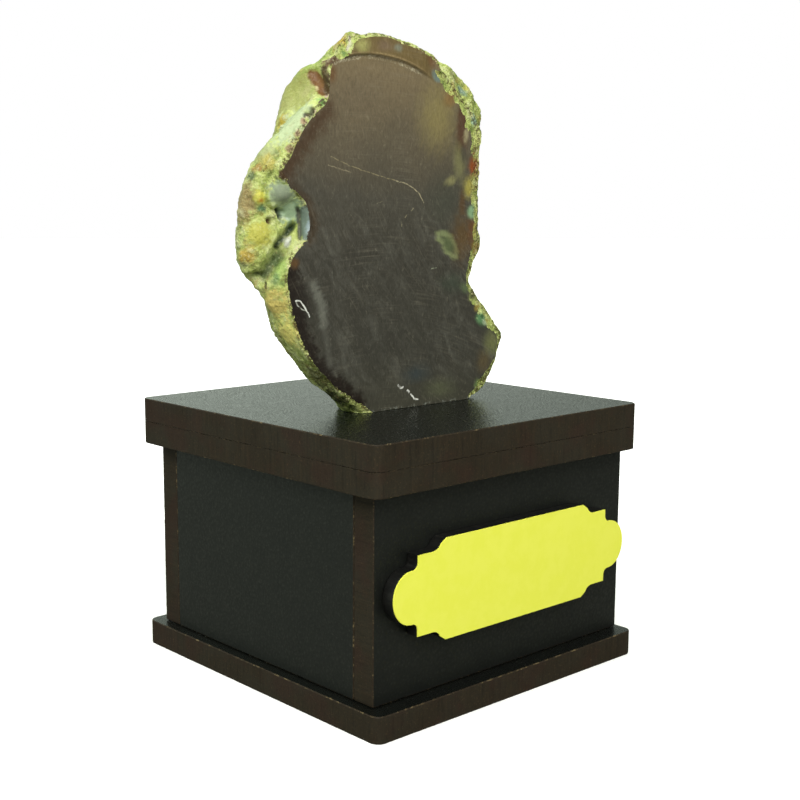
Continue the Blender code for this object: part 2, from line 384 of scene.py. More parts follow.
@dataclass(frozen=True)
class Surface:
    """The plain numbers of a finish that are the same all over it."""

    roughness: float = 0.5
    specular: float = 0.5
    coat: float = 0.0
    coat_roughness: float = 0.1
    subsurface: float = 0.0
    tint: str = "#FFFFFF"

    def start(self, name: str) -> tuple[bpy.types.Material, NodeBench, bpy.types.Node]:
        """Make a material with these numbers on its shader.

        Args:
            name: The material's name.

        Returns:
            The material, a bench for its nodes and its shader.
        """
        material = bpy.data.materials.new(name)
        material.use_nodes = True
        shader = material.node_tree.nodes["Principled BSDF"]
        shader.inputs["Roughness"].default_value = self.roughness
        shader.inputs["Specular IOR Level"].default_value = self.specular
        shader.inputs["Specular Tint"].default_value = colour(self.tint)
        shader.inputs["Coat Weight"].default_value = self.coat
        shader.inputs["Coat Roughness"].default_value = self.coat_roughness
        shader.inputs["Subsurface Weight"].default_value = self.subsurface
        shader.inputs["Subsurface Scale"].default_value = 0.6 * MM
        return material, NodeBench(material.node_tree), shader


def in_millimetres(bench: NodeBench, origin: Vector) -> Socket:
    """Give places in millimetres from an origin, for a material."""
    shift = tuple(-c / MM for c in origin)
    return bench.mapped(bench.object_place(), place=shift, scale=(1 / MM, 1 / MM, 1 / MM))


def over_painted(bench: NodeBench, base: Socket, attribute: str) -> tuple[Socket, Socket]:
    """Lay the colours painted into an attribute over a base colour.

    Args:
        bench: The material's bench.
        base: The colour below.
        attribute: The attribute's name.

    Returns:
        The colour, and how much of it is painted.
    """
    paint = bench.node("ShaderNodeAttribute", attribute_name=attribute)
    bare = bench.math("SUBTRACT", 1.0, paint.outputs["Alpha"])
    laid = bench.vector("MULTIPLY_ADD", base, bare)
    bench.feed(laid.inputs[2], paint.outputs["Color"])
    return laid.outputs[0], paint.outputs["Alpha"]


def bumped(bench: NodeBench, shader: bpy.types.Node, height: Socket, depth: float,
           under: Socket | None = None) -> Socket:
    """Join a height to a shader's normal.

    Args:
        bench: The material's bench.
        shader: The shader that takes the normal.
        height: The height, from 0 to 1.
        depth: How deep a height of 1 is, in metres.
        under: The normal of a coarser bump below this one.

    Returns:
        The new normal.
    """
    bump = bench.node("ShaderNodeBump", {"Strength": 1.0, "Distance": depth, "Height": height})
    if under is not None:
        bench.feed(bump.inputs["Normal"], under)
    bench.feed(shader.inputs["Normal"], bump.outputs[0])
    return bump.outputs[0]


EDGE_PATCHES: tuple[Patch, ...] = (
    Patch("cream patch", "#A9A27C", (7.0, 0, 31.6), (0.55, 2, 1.4), turn=-6, softness=0.8, strength=0.8),
    Patch("orange-red", "#8F4A22", (8.5, 0, 28.0), (1.3, 2, 1.7), softness=0.8),
    Patch("yellow-olive", "#A39A4C", (7.8, 0, 25.5), (1.5, 2, 1.9), softness=0.8),
    Patch("mint", "#86A880", (8.2, 0, 22.6), (1.0, 2, 1.1), softness=0.6),
    Patch("yellow slip", "#B0A858", (8.8, 0, 20.4), (0.45, 2, 1.1), softness=0.6),
    Patch("ochre-olive", "#8A7434", (8.9, 0, 18.5), (0.9, 2, 1.1), softness=0.7, strength=0.9),
    Patch("olive-cream", "#7F8552", (8.6, 0, 12.6), (0.9, 2, 1.2), turn=-50, softness=0.8),
    Patch("ochre", "#9A8A44", (9.5, 0, 11.2), (0.7, 2, 0.9), turn=-40, softness=0.8),
    Patch("mint-green", "#5F8A5C", (10.2, 0, 9.7), (1.5, 2, 1.0), turn=-20, softness=0.7),
    Patch("whitish", "#A4B494", (10.8, 0, 9.2), (0.7, 2, 0.45), turn=-30, softness=0.7, strength=0.8),
)


@dataclass(frozen=True)
class SawnAgate:
    """The sawn and lightly rubbed face of the stone."""

    origin: Vector
    step_centre: Place
    step_radius: float
    step_end: float
    surface: Surface = Surface(roughness=0.42, specular=0.35)
    # Darker low down and lighter towards the top: partly the stone's own colour, partly a painted reflection on the
    # upper face.
    height_stops: tuple[tuple[float, str], ...] = (
        (0.0, "#45443A"), (0.14, "#3C3B34"), (0.42, "#3D3B34"), (0.58, "#4C4940"), (0.76, "#655C4A"),
        (0.92, "#7B6D53"), (1.0, "#80704F"))
    top: float = 42.0
    tear: float = 0.4
    patches: tuple[Patch, ...] = (
        Patch("grey right middle", "#45473D", (3.5, 0, 24.0), (4.5, 9, 5.0), softness=1.0, strength=0.7),
        Patch("pale upper left", "#6A5F4C", (-10.0, 0, 35.0), (5.5, 9, 3.5), softness=1.0, strength=0.5),
        Patch("golden glow", "#887D52", (2.2, 0, 33.6), (4.6, 9, 6.0), softness=1.0, strength=0.95),
        Patch("orange tint", "#8C6A3A", (4.2, 0, 35.7), (1.7, 9, 1.4), softness=0.9, strength=0.7),
        Patch("red-brown band", "#553A2A", (6.4, 0, 32.4), (1.35, 9, 5.2), turn=-2, softness=0.6, strength=0.85),
        Patch("dark shoulder", "#4C4430", (4.6, 0, 37.3), (3.2, 9, 0.9), turn=-38, softness=0.7, strength=0.8),
        Patch("bluish spot", "#71827B", (1.9, 0, 38.1), (1.15, 9, 0.75), turn=-35, softness=0.5),
        Patch("green-cream", "#7E7D55", (5.9, 0, 28.4), (1.5, 9, 3.4), turn=8, softness=0.9, strength=0.8),
        Patch("cream foot", "#908D60", (4.5, 0, 26.3), (1.3, 9, 0.8), turn=10, softness=0.8, strength=0.8),
        Patch("grey inlet", "#4A4A40", (6.6, 0, 29.4), (0.7, 9, 1.5), softness=0.7, strength=0.7),
        Patch("brown by yellow", "#5B452C", (6.5, 0, 23.6), (0.8, 9, 2.5), softness=0.8, strength=0.85),
        Patch("brown haze right", "#5E4A2E", (6.6, 0, 19.6), (2.9, 9, 4.6), softness=1.0, strength=0.95),
        Patch("rust haze right", "#6A4526", (8.2, 0, 20.6), (1.0, 9, 3.0), softness=0.9, strength=0.7),
        Patch("ring heart", "#5A6544", (4.2, 0, 18.8), (1.1, 9, 1.7), turn=50, softness=0.7, strength=0.9),
        Patch("green-grey shade", "#3E473B", (5.0, 0, 14.3), (3.2, 9, 1.8), softness=1.0, strength=0.8),
        Patch("pale green", "#62764F", (7.3, 0, 13.6), (1.1, 9, 0.9), softness=0.9, strength=0.8),
        Patch("light olive", "#71754A", (12.2, 0, 6.6), (2.2, 9, 2.4), softness=0.9, strength=0.9),
        Patch("brown right foot", "#5C5036", (10.8, 0, 4.4), (2.0, 9, 2.2), softness=0.9, strength=0.8),
        Patch("green foot", "#6F8450", (9.7, 0, 1.7), (0.9, 9, 0.8), turn=40, softness=0.8, strength=0.9),
        Patch("olive haze below", "#5E6348", (2.6, 0, 1.6), (1.8, 9, 1.8), softness=0.9, strength=0.7),
        Patch("blue shade", "#37454A", (-1.2, 0, 3.8), (2.0, 9, 1.6), softness=1.0, strength=0.6),
        Patch("ochre at left edge", "#62482A", (-19.2, 0, 17.3), (1.1, 9, 0.9), softness=0.9, strength=0.9),
        Patch("rust shade", "#6A4A2C", (-14.0, 0, 37.4), (1.3, 9, 1.5), softness=0.8, strength=0.8),
        Patch("dark heart left", "#241F1B", (-18.2, 0, 13.6), (1.9, 9, 3.0), turn=10, softness=0.8, strength=0.85),
        *EDGE_PATCHES,
    )
    bands: tuple[Band, ...] = (
        Band("dark rim below", "#1B120D", flat((-19.7, 16.2), (-19.5, 13.0), (-18.7, 9.6), (-16.9, 6.4),
                                                (-13.8, 3.4), (-10.4, 0.9)), 2.1, 0.9, 0.95),
        Band("pale ring", "#869064", flat((2.6, 20.1), (3.5, 20.2), (4.5, 19.7), (5.4, 18.8), (5.7, 17.9),
                                          (5.6, 17.4), (4.9, 17.5), (4.0, 18.0), (3.4, 18.8), (2.6, 19.6),
                                          (2.6, 20.1)), 0.55, 0.1, 0.95),
        Band("grey streak", "#7C7E74", flat((-16.5, 14.8), (-16.0, 13.7), (-15.3, 12.1), (-15.1, 10.5)), 1.0, 0.1, 0.6),
        Band("grey streak foot", "#5C5C54", flat((-15.1, 10.5), (-14.6, 8.2), (-14.2, 6.0)), 0.7, 0.0, 0.6),
        Band("brown rim above", "#45301F", flat((-20.4, 26.6), (-18.4, 29.4), (-16.6, 31.4), (-14.4, 33.6)),
             1.9, 0.0, 0.8),
        Band("brown rim by the lens", "#40301F", flat((-19.0, 25.2), (-17.2, 23.8), (-16.2, 21.4), (-17.0, 19.6)),
             1.0, 0.0, 0.7),
    )
    cap_ground: Patch = Patch("cap", "#74633F", (-5.0, 0, 40.0), (60, 60, 60))
    cap_patches: tuple[Patch, ...] = (
        Patch("cap olive", "#A6A464", (-9.8, 0, 40.6), (1.7, 9, 1.3), softness=0.9),
        Patch("cap plum", "#7D6A55", (-6.4, 0, 40.8), (1.9, 9, 1.0), softness=0.9, strength=0.8),
        Patch("cap grey", "#858C7C", (-4.4, 0, 40.7), (0.9, 9, 0.6), softness=0.8, strength=0.8),
        Patch("cap red", "#733F1E", (1.5, 0, 39.6), (1.9, 9, 1.1), turn=-30, softness=0.8, strength=0.9),
        Patch("cap rust end", "#6E5038", (-12.6, 0, 39.5), (1.6, 9, 0.9), turn=25, softness=0.8, strength=0.8),
    )
    scratches: tuple[Scratch, ...] = (
        Scratch("long scratch", "#A79C78", flat((-14.0, 28.6), (-11.3, 27.7), (-8.0, 26.9), (-4.5, 26.2)),
             0.085, 0.02, 0.55),
        Scratch("curved scratch", "#B5AC8C", flat((-4.5, 26.2), (-2.9, 25.9), (-1.6, 25.4), (-0.6, 24.7), (0.1, 23.7)),
             0.10, 0.02, 0.75),
        Scratch("second scratch", "#A79C80", flat((-14.4, 27.7), (-12.6, 27.3), (-11.1, 27.0)), 0.10, 0.02, 0.5),
        Scratch("dot one", "#B0A888", flat((-1.6, 23.1), (-1.9, 22.8)), 0.10, 0.02, 0.6),
        Scratch("dot two", "#A8A080", flat((-2.6, 22.3), (-2.9, 22.0)), 0.09, 0.02, 0.5),
        Scratch("dot three", "#B0A888", flat((-3.4, 21.5), (-3.4, 21.0)), 0.10, 0.02, 0.6),
        Scratch("dot four", "#9A947C", flat((-7.2, 23.6), (-6.4, 23.9)), 0.09, 0.02, 0.4),
        Scratch("white dash", "#9CA48C", flat((1.5, 16.1), (2.3, 16.15)), 0.10, 0.02, 0.7),
        Scratch("ring chip", "#E8ECE4", flat((-19.0, 13.3), (-18.5, 13.3), (-17.9, 12.7), (-17.4, 12.0), (-17.1, 11.5)),
             0.13, 0.04, 0.9),
        Scratch("ring chip underside", "#D8DCD0", flat((-19.0, 13.3), (-18.7, 12.7), (-18.1, 12.3), (-17.5, 12.1)),
             0.09, 0.02, 0.7),
        Scratch("lightning chip", "#EEF0E8", flat((-3.8, 2.75), (-3.4, 2.4), (-3.0, 2.45)), 0.17, 0.05, 0.85),
        Scratch("lightning chip middle", "#EEF0E8", flat((-2.3, 2.05), (-2.0, 1.8)), 0.17, 0.05, 0.9),
        Scratch("lightning chip foot", "#EEF0E8", flat((-1.7, 1.5), (-1.2, 0.95), (-0.55, 0.8)), 0.16, 0.05, 0.9),
    )

    def material(self, effects: Effects) -> bpy.types.Material:
        """Make the material.

        Args:
            effects: The shared node groups.

        Returns:
            The finished material.
        """
        material, bench, shader = self.surface.start("sawn agate")
        place = in_millimetres(bench, self.origin)
        height = bench.node("ShaderNodeSeparateXYZ", {0: place}).outputs[2]
        ragged = bench.group(effects.warp, {"Place": place, "Scale": 0.5, "Amount": 1.5}).outputs[0]
        share = bench.math("DIVIDE", height, self.top)
        clouds = bench.noise(place, 0.13, 4.0, 0.55).outputs[0]
        shifted = bench.math("MULTIPLY_ADD", clouds, 0.16)
        bench.feed(shifted.node.inputs[2], bench.math("SUBTRACT", share, 0.08))
        base, stained = over_painted(bench, bench.ramp(shifted, self.height_stops), "stain")
        strands, fine = self._rubbing(bench, place, ragged)
        haze = self._haze(bench, place, height, effects.warp)
        clear = bench.rise(stained, 0.3, 1.0, 0.40, 0.05)
        base = bench.blend(bench.math("MULTIPLY", haze, clear), base, colour("#7E7E74"))
        base = bench.blend(bench.math("MULTIPLY", strands, 0.20), base, colour("#96907C"))
        base = bench.blend(bench.rise(fine, 0.40, 0.72, 0.0, 0.30), base, colour("#2A2824"), "MULTIPLY")
        base = bench.blend(bench.rise(fine, 0.44, 0.26, 0.0, 0.16), base, colour("#B4AE98"))
        jittered = bench.group(effects.warp, {"Place": place, "Scale": 1.6, "Amount": 0.28}).outputs[0]
        broken = bench.rise(bench.noise(place, 2.4, 2.0).outputs[0], 0.30, 0.55)
        for mark in self.scratches:
            mask = bench.math("MULTIPLY", mark.mask(bench, effects, jittered), broken)
            base = bench.blend(mask, base, colour(mark.colour))
        chips, crest = self._step_marks(bench, place)
        # Painted highlight: the tan crest of the step, where the raised cap's edge would catch the light.
        base = bench.blend(crest, base, colour("#A08C64"))
        base = bench.blend(bench.math("MULTIPLY", chips, 0.72), base, colour("#CFCAAE"))
        base = bench.blend(self._foot_chips(bench, place), base, colour("#8E948A"))
        bench.feed(shader.inputs["Base Color"], base)
        bench.feed(shader.inputs["Roughness"], bench.rise(strands, 0.0, 1.0, 0.36, 0.55))
        relief = bench.math("ADD", bench.math("MULTIPLY", strands, 0.6), bench.math("MULTIPLY", fine, 0.4))
        bumped(bench, shader, relief, 0.014 * MM)
        return material

    def _ring_distance(self, bench: NodeBench, place: Socket) -> Socket:
        """Give the distance from the middle of the saw's circle."""
        across = bench.vector("MULTIPLY", place, (1.0, 0.0, 1.0)).outputs[0]
        return bench.vector("DISTANCE", across, self.step_centre).outputs["Value"]

    def painting(self, places: np.ndarray, fray: np.ndarray) -> np.ndarray:
        """Paint the stains, with the unsawn cap above the step over them.

        Args:
            places: The places, one row each.
            fray: How much borders are torn at each place.

        Returns:
            The painted colour and its cover, one row for each place.
        """
        stains = painted(places, self.patches, self.tear * fray, painted(places, self.bands, 2.2 * fray))
        cap = painted(places, (self.cap_ground, *self.cap_patches), self.tear * fray)
        ring = np.linalg.norm((places - np.array(self.step_centre)) * (1.0, 0.0, 1.0), axis=1)
        beyond = smooth_step(ring + 0.3 * fray, self.step_radius - 0.05, self.step_radius + 0.2)
        share = beyond * smooth_step(places[:, 0], self.step_end + 3.2, self.step_end + 0.4)
        share *= smooth_step(places[:, 2], 30.0, 32.0)
        return stains * (1.0 - share[:, None]) + cap * share[:, None]

    def _step_marks(self, bench: NodeBench, place: Socket) -> tuple[Socket, Socket]:
        """Make the masks of the pale chips along the foot of the step, and of the painted highlight on its tan crest.

        Args:
            bench: The material's bench.
            place: Places in the stone.

        Returns:
            The mask of the chips and that of the painted highlight on the crest.
        """
        ring = self._ring_distance(bench, place)
        parts = bench.node("ShaderNodeSeparateXYZ", {0: place})
        x, height = parts.outputs[0], parts.outputs[2]
        high = bench.rise(height, 30.0, 32.0)
        edge = bench.noise(place, 2.2, 2.0, 0.6).outputs[0]
        ragged = bench.math("MULTIPLY_ADD", edge, 0.35)
        bench.feed(ragged.node.inputs[2], ring)
        inner = bench.rise(ragged, self.step_radius - 0.28, self.step_radius - 0.08)
        outer = bench.rise(ragged, self.step_radius + 0.30, self.step_radius + 0.10)
        groups = bench.rise(bench.noise(place, 0.75, 2.0).outputs[0], 0.40, 0.58, 0.2, 1.0)
        crumbs = bench.rise(bench.noise(place, 3.2, 3.0, 0.7).outputs[0], 0.44, 0.60)
        along = bench.math("MULTIPLY", bench.rise(x, self.step_end + 3.0, self.step_end - 2.5),
                           bench.rise(x, -15.0, -13.0))
        chips = bench.math("MULTIPLY", bench.math("MULTIPLY", inner, outer), bench.math("MULTIPLY", crumbs, along))
        # Painted highlight: a tan band along the lower edge of the raised cap, broken up below.
        crest = bench.math("MULTIPLY", bench.rise(ring, self.step_radius + 0.16, self.step_radius + 0.26),
                           bench.rise(ring, self.step_radius + 0.50, self.step_radius + 0.32))
        highlight_and_wear = bench.math("MULTIPLY", bench.rise(crumbs, 0.0, 0.8, 0.35, 0.75), along)
        return (bench.math("MULTIPLY", chips, bench.math("MULTIPLY", groups, high)),
                bench.math("MULTIPLY", crest, bench.math("MULTIPLY", highlight_and_wear, high)))

    def _haze(self, bench: NodeBench, place: Socket, height: Socket, warp: bpy.types.NodeTree) -> Socket:
        """Make the cloudy, feathery strands that cross the lower half of the face downwards to the right.

        Args:
            bench: The material's bench.
            place: Places in the stone.
            height: Their height.
            warp: The node group that pushes places about.

        Returns:
            The strength of the haze.
        """
        turned = bench.mapped(place, turn=(0.0, math.radians(-52.0), 0.0), scale=(1.0, 1.0, 1.0))
        bent = bench.group(warp, {"Place": turned, "Scale": 0.22, "Amount": 3.2}).outputs[0]
        long_way = bench.vector("MULTIPLY", bent, (0.10, 1.0, 0.6)).outputs[0]
        feathers = bench.noise(long_way, 1.15, 6.0, 0.68, 0.6).outputs[0]
        where = bench.noise(bent, 0.10, 2.0).outputs[0]
        low = bench.math("MULTIPLY", bench.rise(height, 27.0, 19.0), bench.rise(height, 0.0, 5.0))
        cloud = bench.math("MULTIPLY", bench.rise(feathers, 0.40, 0.82), bench.rise(where, 0.34, 0.56, 0.25, 1.0))
        return bench.math("MULTIPLY", cloud, low)

    def _foot_chips(self, bench: NodeBench, place: Socket) -> Socket:
        """Make the mask of the small grey chips along the stone's foot."""
        height = bench.node("ShaderNodeSeparateXYZ", {0: place}).outputs[2]
        low = bench.rise(height, 0.45, 0.05)
        crumbs = bench.rise(bench.noise(place, 2.3, 3.0, 0.7).outputs[0], 0.53, 0.66)
        return bench.math("MULTIPLY", bench.math("MULTIPLY", low, crumbs), 0.8)

    def _rubbing(self, bench: NodeBench, place: Socket, ragged: Socket) -> tuple[Socket, Socket]:
        """Make the swirls of rubbing and the fine lines of the saw.

        Args:
            bench: The material's bench.
            place: Places in the stone.
            ragged: The same places, pushed about.

        Returns:
            The strength of the pale strands, and the saw lines.
        """
        strands: Value = 0.0
        sweeps = (((-36.0, 0.0, -6.0), 0.55, (0.0, 0.0, 3.0)), ((30.0, 0.0, 44.0), 0.5, (6.0, 0.0, 0.0)),
                  ((-7.0, 0.0, -30.0), 0.45, (0.0, 0.0, 9.0)))
        for middle, threshold, shift in sweeps:
            away = bench.vector("SUBTRACT", place, middle).outputs[0]
            parts = bench.node("ShaderNodeSeparateXYZ", {0: away})
            turn = bench.math("ARCTAN2", parts.outputs[2], parts.outputs[0])
            ring = bench.vector("LENGTH", away).outputs["Value"]
            polar = bench.node("ShaderNodeCombineXYZ", {
                0: bench.math("MULTIPLY", ring, 4.2), 1: bench.math("MULTIPLY", turn, 9.0), 2: shift[0]})
            hair = bench.noise(polar.outputs[0], 1.0, 3.0, 0.6).outputs[0]
            where = bench.noise(bench.vector("ADD", ragged, shift).outputs[0], 0.16, 2.0).outputs[0]
            strand = bench.math("MULTIPLY", bench.rise(hair, threshold, 0.78), bench.rise(where, 0.42, 0.66))
            strands = bench.math("MAXIMUM", strands, strand)
        squeezed = bench.vector("MULTIPLY", ragged, (4.2, 1.0, 1.5)).outputs[0]
        fine = bench.noise(squeezed, 1.0, 4.0, 0.75, 0.4).outputs[0]
        return strands, fine


@dataclass(frozen=True)
class NaturalRind:
    """The rough outside of the stone: lime and olive, with ochre, mint, grey and rust."""

    origin: Vector
    surface: Surface = Surface(roughness=0.62, specular=0.3)
    mottle: tuple[tuple[float, str], ...] = (
        (0.28, "#5A6C38"), (0.38, "#8C9E50"), (0.47, "#B2C06A"), (0.55, "#C4D082"), (0.64, "#CFD89A"),
        (0.78, "#B2A866"))
    behind: tuple[tuple[float, str], ...] = (
        (0.30, "#4E4C2E"), (0.42, "#7D7040"), (0.52, "#978C54"), (0.60, "#8E965E"), (0.72, "#B1AE7E"))
    patches: tuple[Patch, ...] = (
        Patch("lobe", "#989C58", (-16.2, 4.4, 35.9), (3.2, 4.6, 3.6), softness=0.4, strength=0.85),
        Patch("lobe lime brow", "#8FA850", (-15.0, 3.0, 38.6), (2.6, 3.6, 1.3), turn=45, softness=0.7),
        Patch("lobe olive", "#857F40", (-17.0, 5.0, 35.0), (0.8, 1.2, 1.3), softness=0.9, strength=0.8),
        Patch("lobe ochre", "#C2AA3E", (-18.0, 4.2, 32.7), (0.8, 1.8, 1.6), turn=-20, softness=0.8),
        Patch("lobe cream", "#AAAA70", (-15.6, 2.6, 35.8), (1.0, 1.6, 1.3), softness=0.9, strength=0.8),
        Patch("mint ridge", "#B4C498", (-18.0, 1.7, 31.8), (3.9, 2.2, 1.35), turn=43, softness=0.4),
        Patch("mint ridge low", "#A2AC78", (-20.8, 2.8, 28.6), (1.8, 2.4, 1.8), turn=50, softness=0.8),
        Patch("ridge yellow", "#BCB25E", (-21.2, 1.8, 27.9), (1.2, 1.6, 1.2), softness=0.8),
        Patch("ridge ochre", "#A98A48", (-21.9, 2.8, 27.3), (0.9, 1.2, 0.6), turn=30, softness=0.7),
        Patch("green tip", "#7AA45A", (-15.0, 0.3, 34.2), (0.8, 1.0, 0.5), softness=0.6),
        Patch("pinkish chip", "#CDB6A6", (-14.5, 0.2, 35.1), (0.35, 0.5, 0.3), softness=0.5),
        Patch("tan chip one", "#A88E70", (-17.4, 0.3, 32.2), (0.5, 0.5, 0.35), turn=40, softness=0.6),
        Patch("tan chip two", "#B29C7C", (-18.4, 0.2, 30.9), (0.5, 0.5, 0.4), turn=40, softness=0.6),
        Patch("tan chip three", "#AE9A74", (-19.5, 0.2, 29.3), (0.6, 0.5, 0.6), softness=0.6),
        Patch("brown-pink side", "#998258", (-23.0, 3.6, 23.8), (1.5, 2.4, 3.8), softness=0.7, strength=0.85),
        Patch("dark green side", "#3F5F40", (-22.5, 3.5, 26.5), (0.8, 1.1, 0.9), softness=0.8, strength=0.8),
        Patch("yellow knob", "#C2C052", (-22.0, 2.1, 24.3), (0.8, 1.0, 1.1), softness=0.6),
        Patch("yellow knob heart", "#A8802C", (-21.9, 2.1, 23.9), (0.35, 0.6, 0.4), softness=0.8),
        Patch("green under knob", "#44704C", (-21.7, 2.2, 23.1), (0.9, 0.9, 0.6), softness=0.8, strength=0.9),
        Patch("yellow bulge", "#B6B450", (-22.3, 2.1, 20.4), (2.0, 2.0, 2.1), softness=0.7),
        Patch("ochre bulge", "#B89C44", (-23.2, 2.9, 18.1), (1.3, 1.7, 1.1), softness=0.8, strength=0.9),
        Patch("brown pit", "#5C431E", (-21.0, 2.0, 21.8), (0.45, 0.6, 0.45), softness=0.6),
        Patch("mint below dome", "#94AC8C", (-18.7, 1.3, 23.1), (1.7, 1.6, 1.9), softness=0.4),
        Patch("lens", "#6C7C72", (-17.1, 0.4, 21.7), (1.05, 1.6, 2.7), turn=-4, softness=0.25),
        Patch("lens heart", "#8E9FA4", (-16.75, 0.2, 21.0), (0.6, 1.2, 1.7), turn=-4, softness=0.7),
        Patch("lime strip", "#A8C46C", (-20.6, 0.9, 16.8), (1.1, 1.4, 2.4), softness=0.8),
        Patch("green strip shade", "#66885A", (-20.9, 1.2, 15.6), (0.6, 1.0, 1.4), softness=0.9, strength=0.8),
        Patch("ochre strip", "#D6C470", (-20.5, 1.5, 12.6), (1.9, 2.4, 2.8), softness=0.7, strength=0.95),
        Patch("yellow strip", "#E4DA7C", (-19.0, 1.6, 9.4), (2.2, 2.4, 3.2), turn=-30, softness=0.7, strength=0.95),
        # Painted shade: the strip darkened at the stone's foot, where it meets the lid.
        Patch("strip foot shade", "#5E5830", (-14.9, 1.8, 4.3), (3.2, 2.6, 2.8), turn=-50, softness=0.8, strength=0.85),
        Patch("strip end shade", "#2E2B18", (-12.2, 1.6, 1.8), (3.0, 2.6, 2.2), turn=-50, softness=0.8, strength=0.9),
        Patch("knob ochre", "#A88A44", (-12.0, 1.0, 41.3), (1.2, 1.9, 1.0), softness=0.8),
        Patch("knob yellow", "#BBAA48", (-11.9, 0.5, 40.7), (0.6, 0.9, 0.6), softness=0.6),
        Patch("knob green", "#527A4C", (-12.0, 0.4, 39.6), (0.9, 0.9, 0.5), softness=0.8),
        Patch("top green", "#6C8A50", (-6.0, 0.8, 42.4), (5.0, 1.8, 0.9), softness=0.8, strength=0.9),
        Patch("top ochre", "#96784A", (-10.6, 0.9, 42.3), (1.4, 1.2, 0.6), softness=0.8, strength=0.8),
        Patch("cap end", "#715A42", (-13.6, 0.6, 38.7), (1.3, 1.1, 0.75), turn=20, softness=0.5),
        Patch("top right red", "#6A3E20", (2.2, 0.3, 39.9), (1.0, 1.0, 0.9), turn=-30, softness=0.8, strength=0.9),
        Patch("right dark spot", "#22402F", (8.7, 0.7, 34.9), (0.5, 0.9, 0.65), softness=0.5),
        Patch("right grey-green", "#7F9884", (6.9, 0.4, 36.8), (1.0, 1.2, 0.8), turn=-40, softness=0.7),
        Patch("right yellow", "#C4BE58", (8.0, 1.0, 37.0), (1.0, 1.2, 0.9), softness=0.8, strength=0.8),
        Patch("right blue-green", "#86A898", (8.4, 0.3, 33.4), (0.7, 1.0, 1.2), softness=0.7, strength=0.85),
        Patch("right lemon", "#C8CC78", (9.0, 0.6, 31.2), (0.8, 1.2, 1.2), softness=0.8, strength=0.8),
        Patch("right olive", "#7C7F45", (5.2, 1.0, 38.4), (1.6, 1.4, 0.9), turn=-38, softness=0.9, strength=0.8),
        Patch("right red-brown", "#5E3F2A", (8.6, 0.4, 29.9), (0.9, 1.2, 0.9), softness=0.9, strength=0.85),
        Patch("brown notch", "#4A3626", (-20.2, 0.4, 26.7), (0.75, 1.0, 0.9), turn=-35, softness=0.4),
        Patch("bluish dome rim", "#A8BA92", (-20.1, 1.0, 24.65), (1.75, 1.8, 1.6), turn=-30, softness=0.35),
        Patch("bluish dome", "#87937C", (-20.1, 1.0, 24.9), (1.35, 1.6, 1.25), turn=-30, softness=0.5),
        *EDGE_PATCHES,
    )
    bands: tuple[Band, ...] = (
        Band("rust", "#6E4422", ((-14.9, 2.3, 37.4), (-14.7, 1.3, 36.5), (-14.6, 0.6, 35.6)), 0.75, 0.45, 0.95),
        Band("rust shade", "#4E3C24", ((-14.4, 0.9, 37.8), (-14.3, 0.4, 36.6), (-14.4, 0.2, 35.6)), 0.7, 0.3, 0.95),
        # Painted highlight: a thin pale line along the lobe's rim.
        Band("lobe edge highlight", "#D2C996", ((-15.3, 2.5, 37.0), (-15.0, 1.6, 36.2), (-14.8, 1.0, 35.3)), 0.16, 0.04, 0.8),
        Band("lens groove", "#5A5C50", ((-17.95, 1.1, 23.5), (-17.75, 1.0, 22.4), (-17.75, 0.9, 21.3),
                                        (-17.95, 0.5, 20.0)), 0.34, 0.1, 0.9),
        Band("lens rim", "#DCE4E6", ((-16.35, 0.0, 21.4), (-16.3, 0.0, 20.8), (-16.6, 0.0, 20.2)), 0.25, 0.08, 0.9),
        Band("cleft shade", "#263A2A", ((-18.3, 1.3, 21.3), (-19.0, 1.4, 20.6), (-19.9, 1.4, 19.8),
                                        (-20.4, 1.4, 19.3)), 0.5, 0.1, 0.95),
        Band("underside shade", "#3A4A32", ((-20.5, 1.2, 18.3), (-21.2, 1.6, 17.1), (-21.9, 2.2, 15.8),
                                            (-22.7, 3.2, 15.4)), 1.0, 0.1, 0.85),
        Band("slit shade", "#2A3A2C", ((-19.9, 1.8, 22.9), (-19.6, 1.9, 22.1)), 0.3, 0.05, 0.9),
        Band("white crystals", "#D8DCD2", ((-19.2, 0.9, 20.2), (-19.5, 0.9, 19.3)), 0.5, 0.15, 0.95),
        Band("small crystals", "#C6D2C6", ((-19.3, 1.7, 22.1), (-18.8, 1.6, 22.0)), 0.3, 0.05, 0.8),
        Band("pit in strip", "#32341C", ((-21.7, 2.0, 15.1), (-21.6, 2.0, 14.6)), 0.22, 0.05, 0.9),
        Band("gap by saw edge", "#2E2A1E", ((-16.3, 0.1, 33.3), (-17.0, 0.3, 32.7)), 0.45, 0.15, 0.9),
        Band("knob chips", "#DCD6C8", ((-11.05, 0.0, 41.3), (-11.2, 0.1, 40.6), (-11.6, 0.0, 40.0)), 0.22, 0.05, 0.9),
        Band("lobe foot line", "#C3B98C", ((-15.5, 1.2, 34.7), (-16.8, 2.1, 33.6), (-18.0, 3.0, 32.3)), 0.16, 0.04, 0.7),
    )

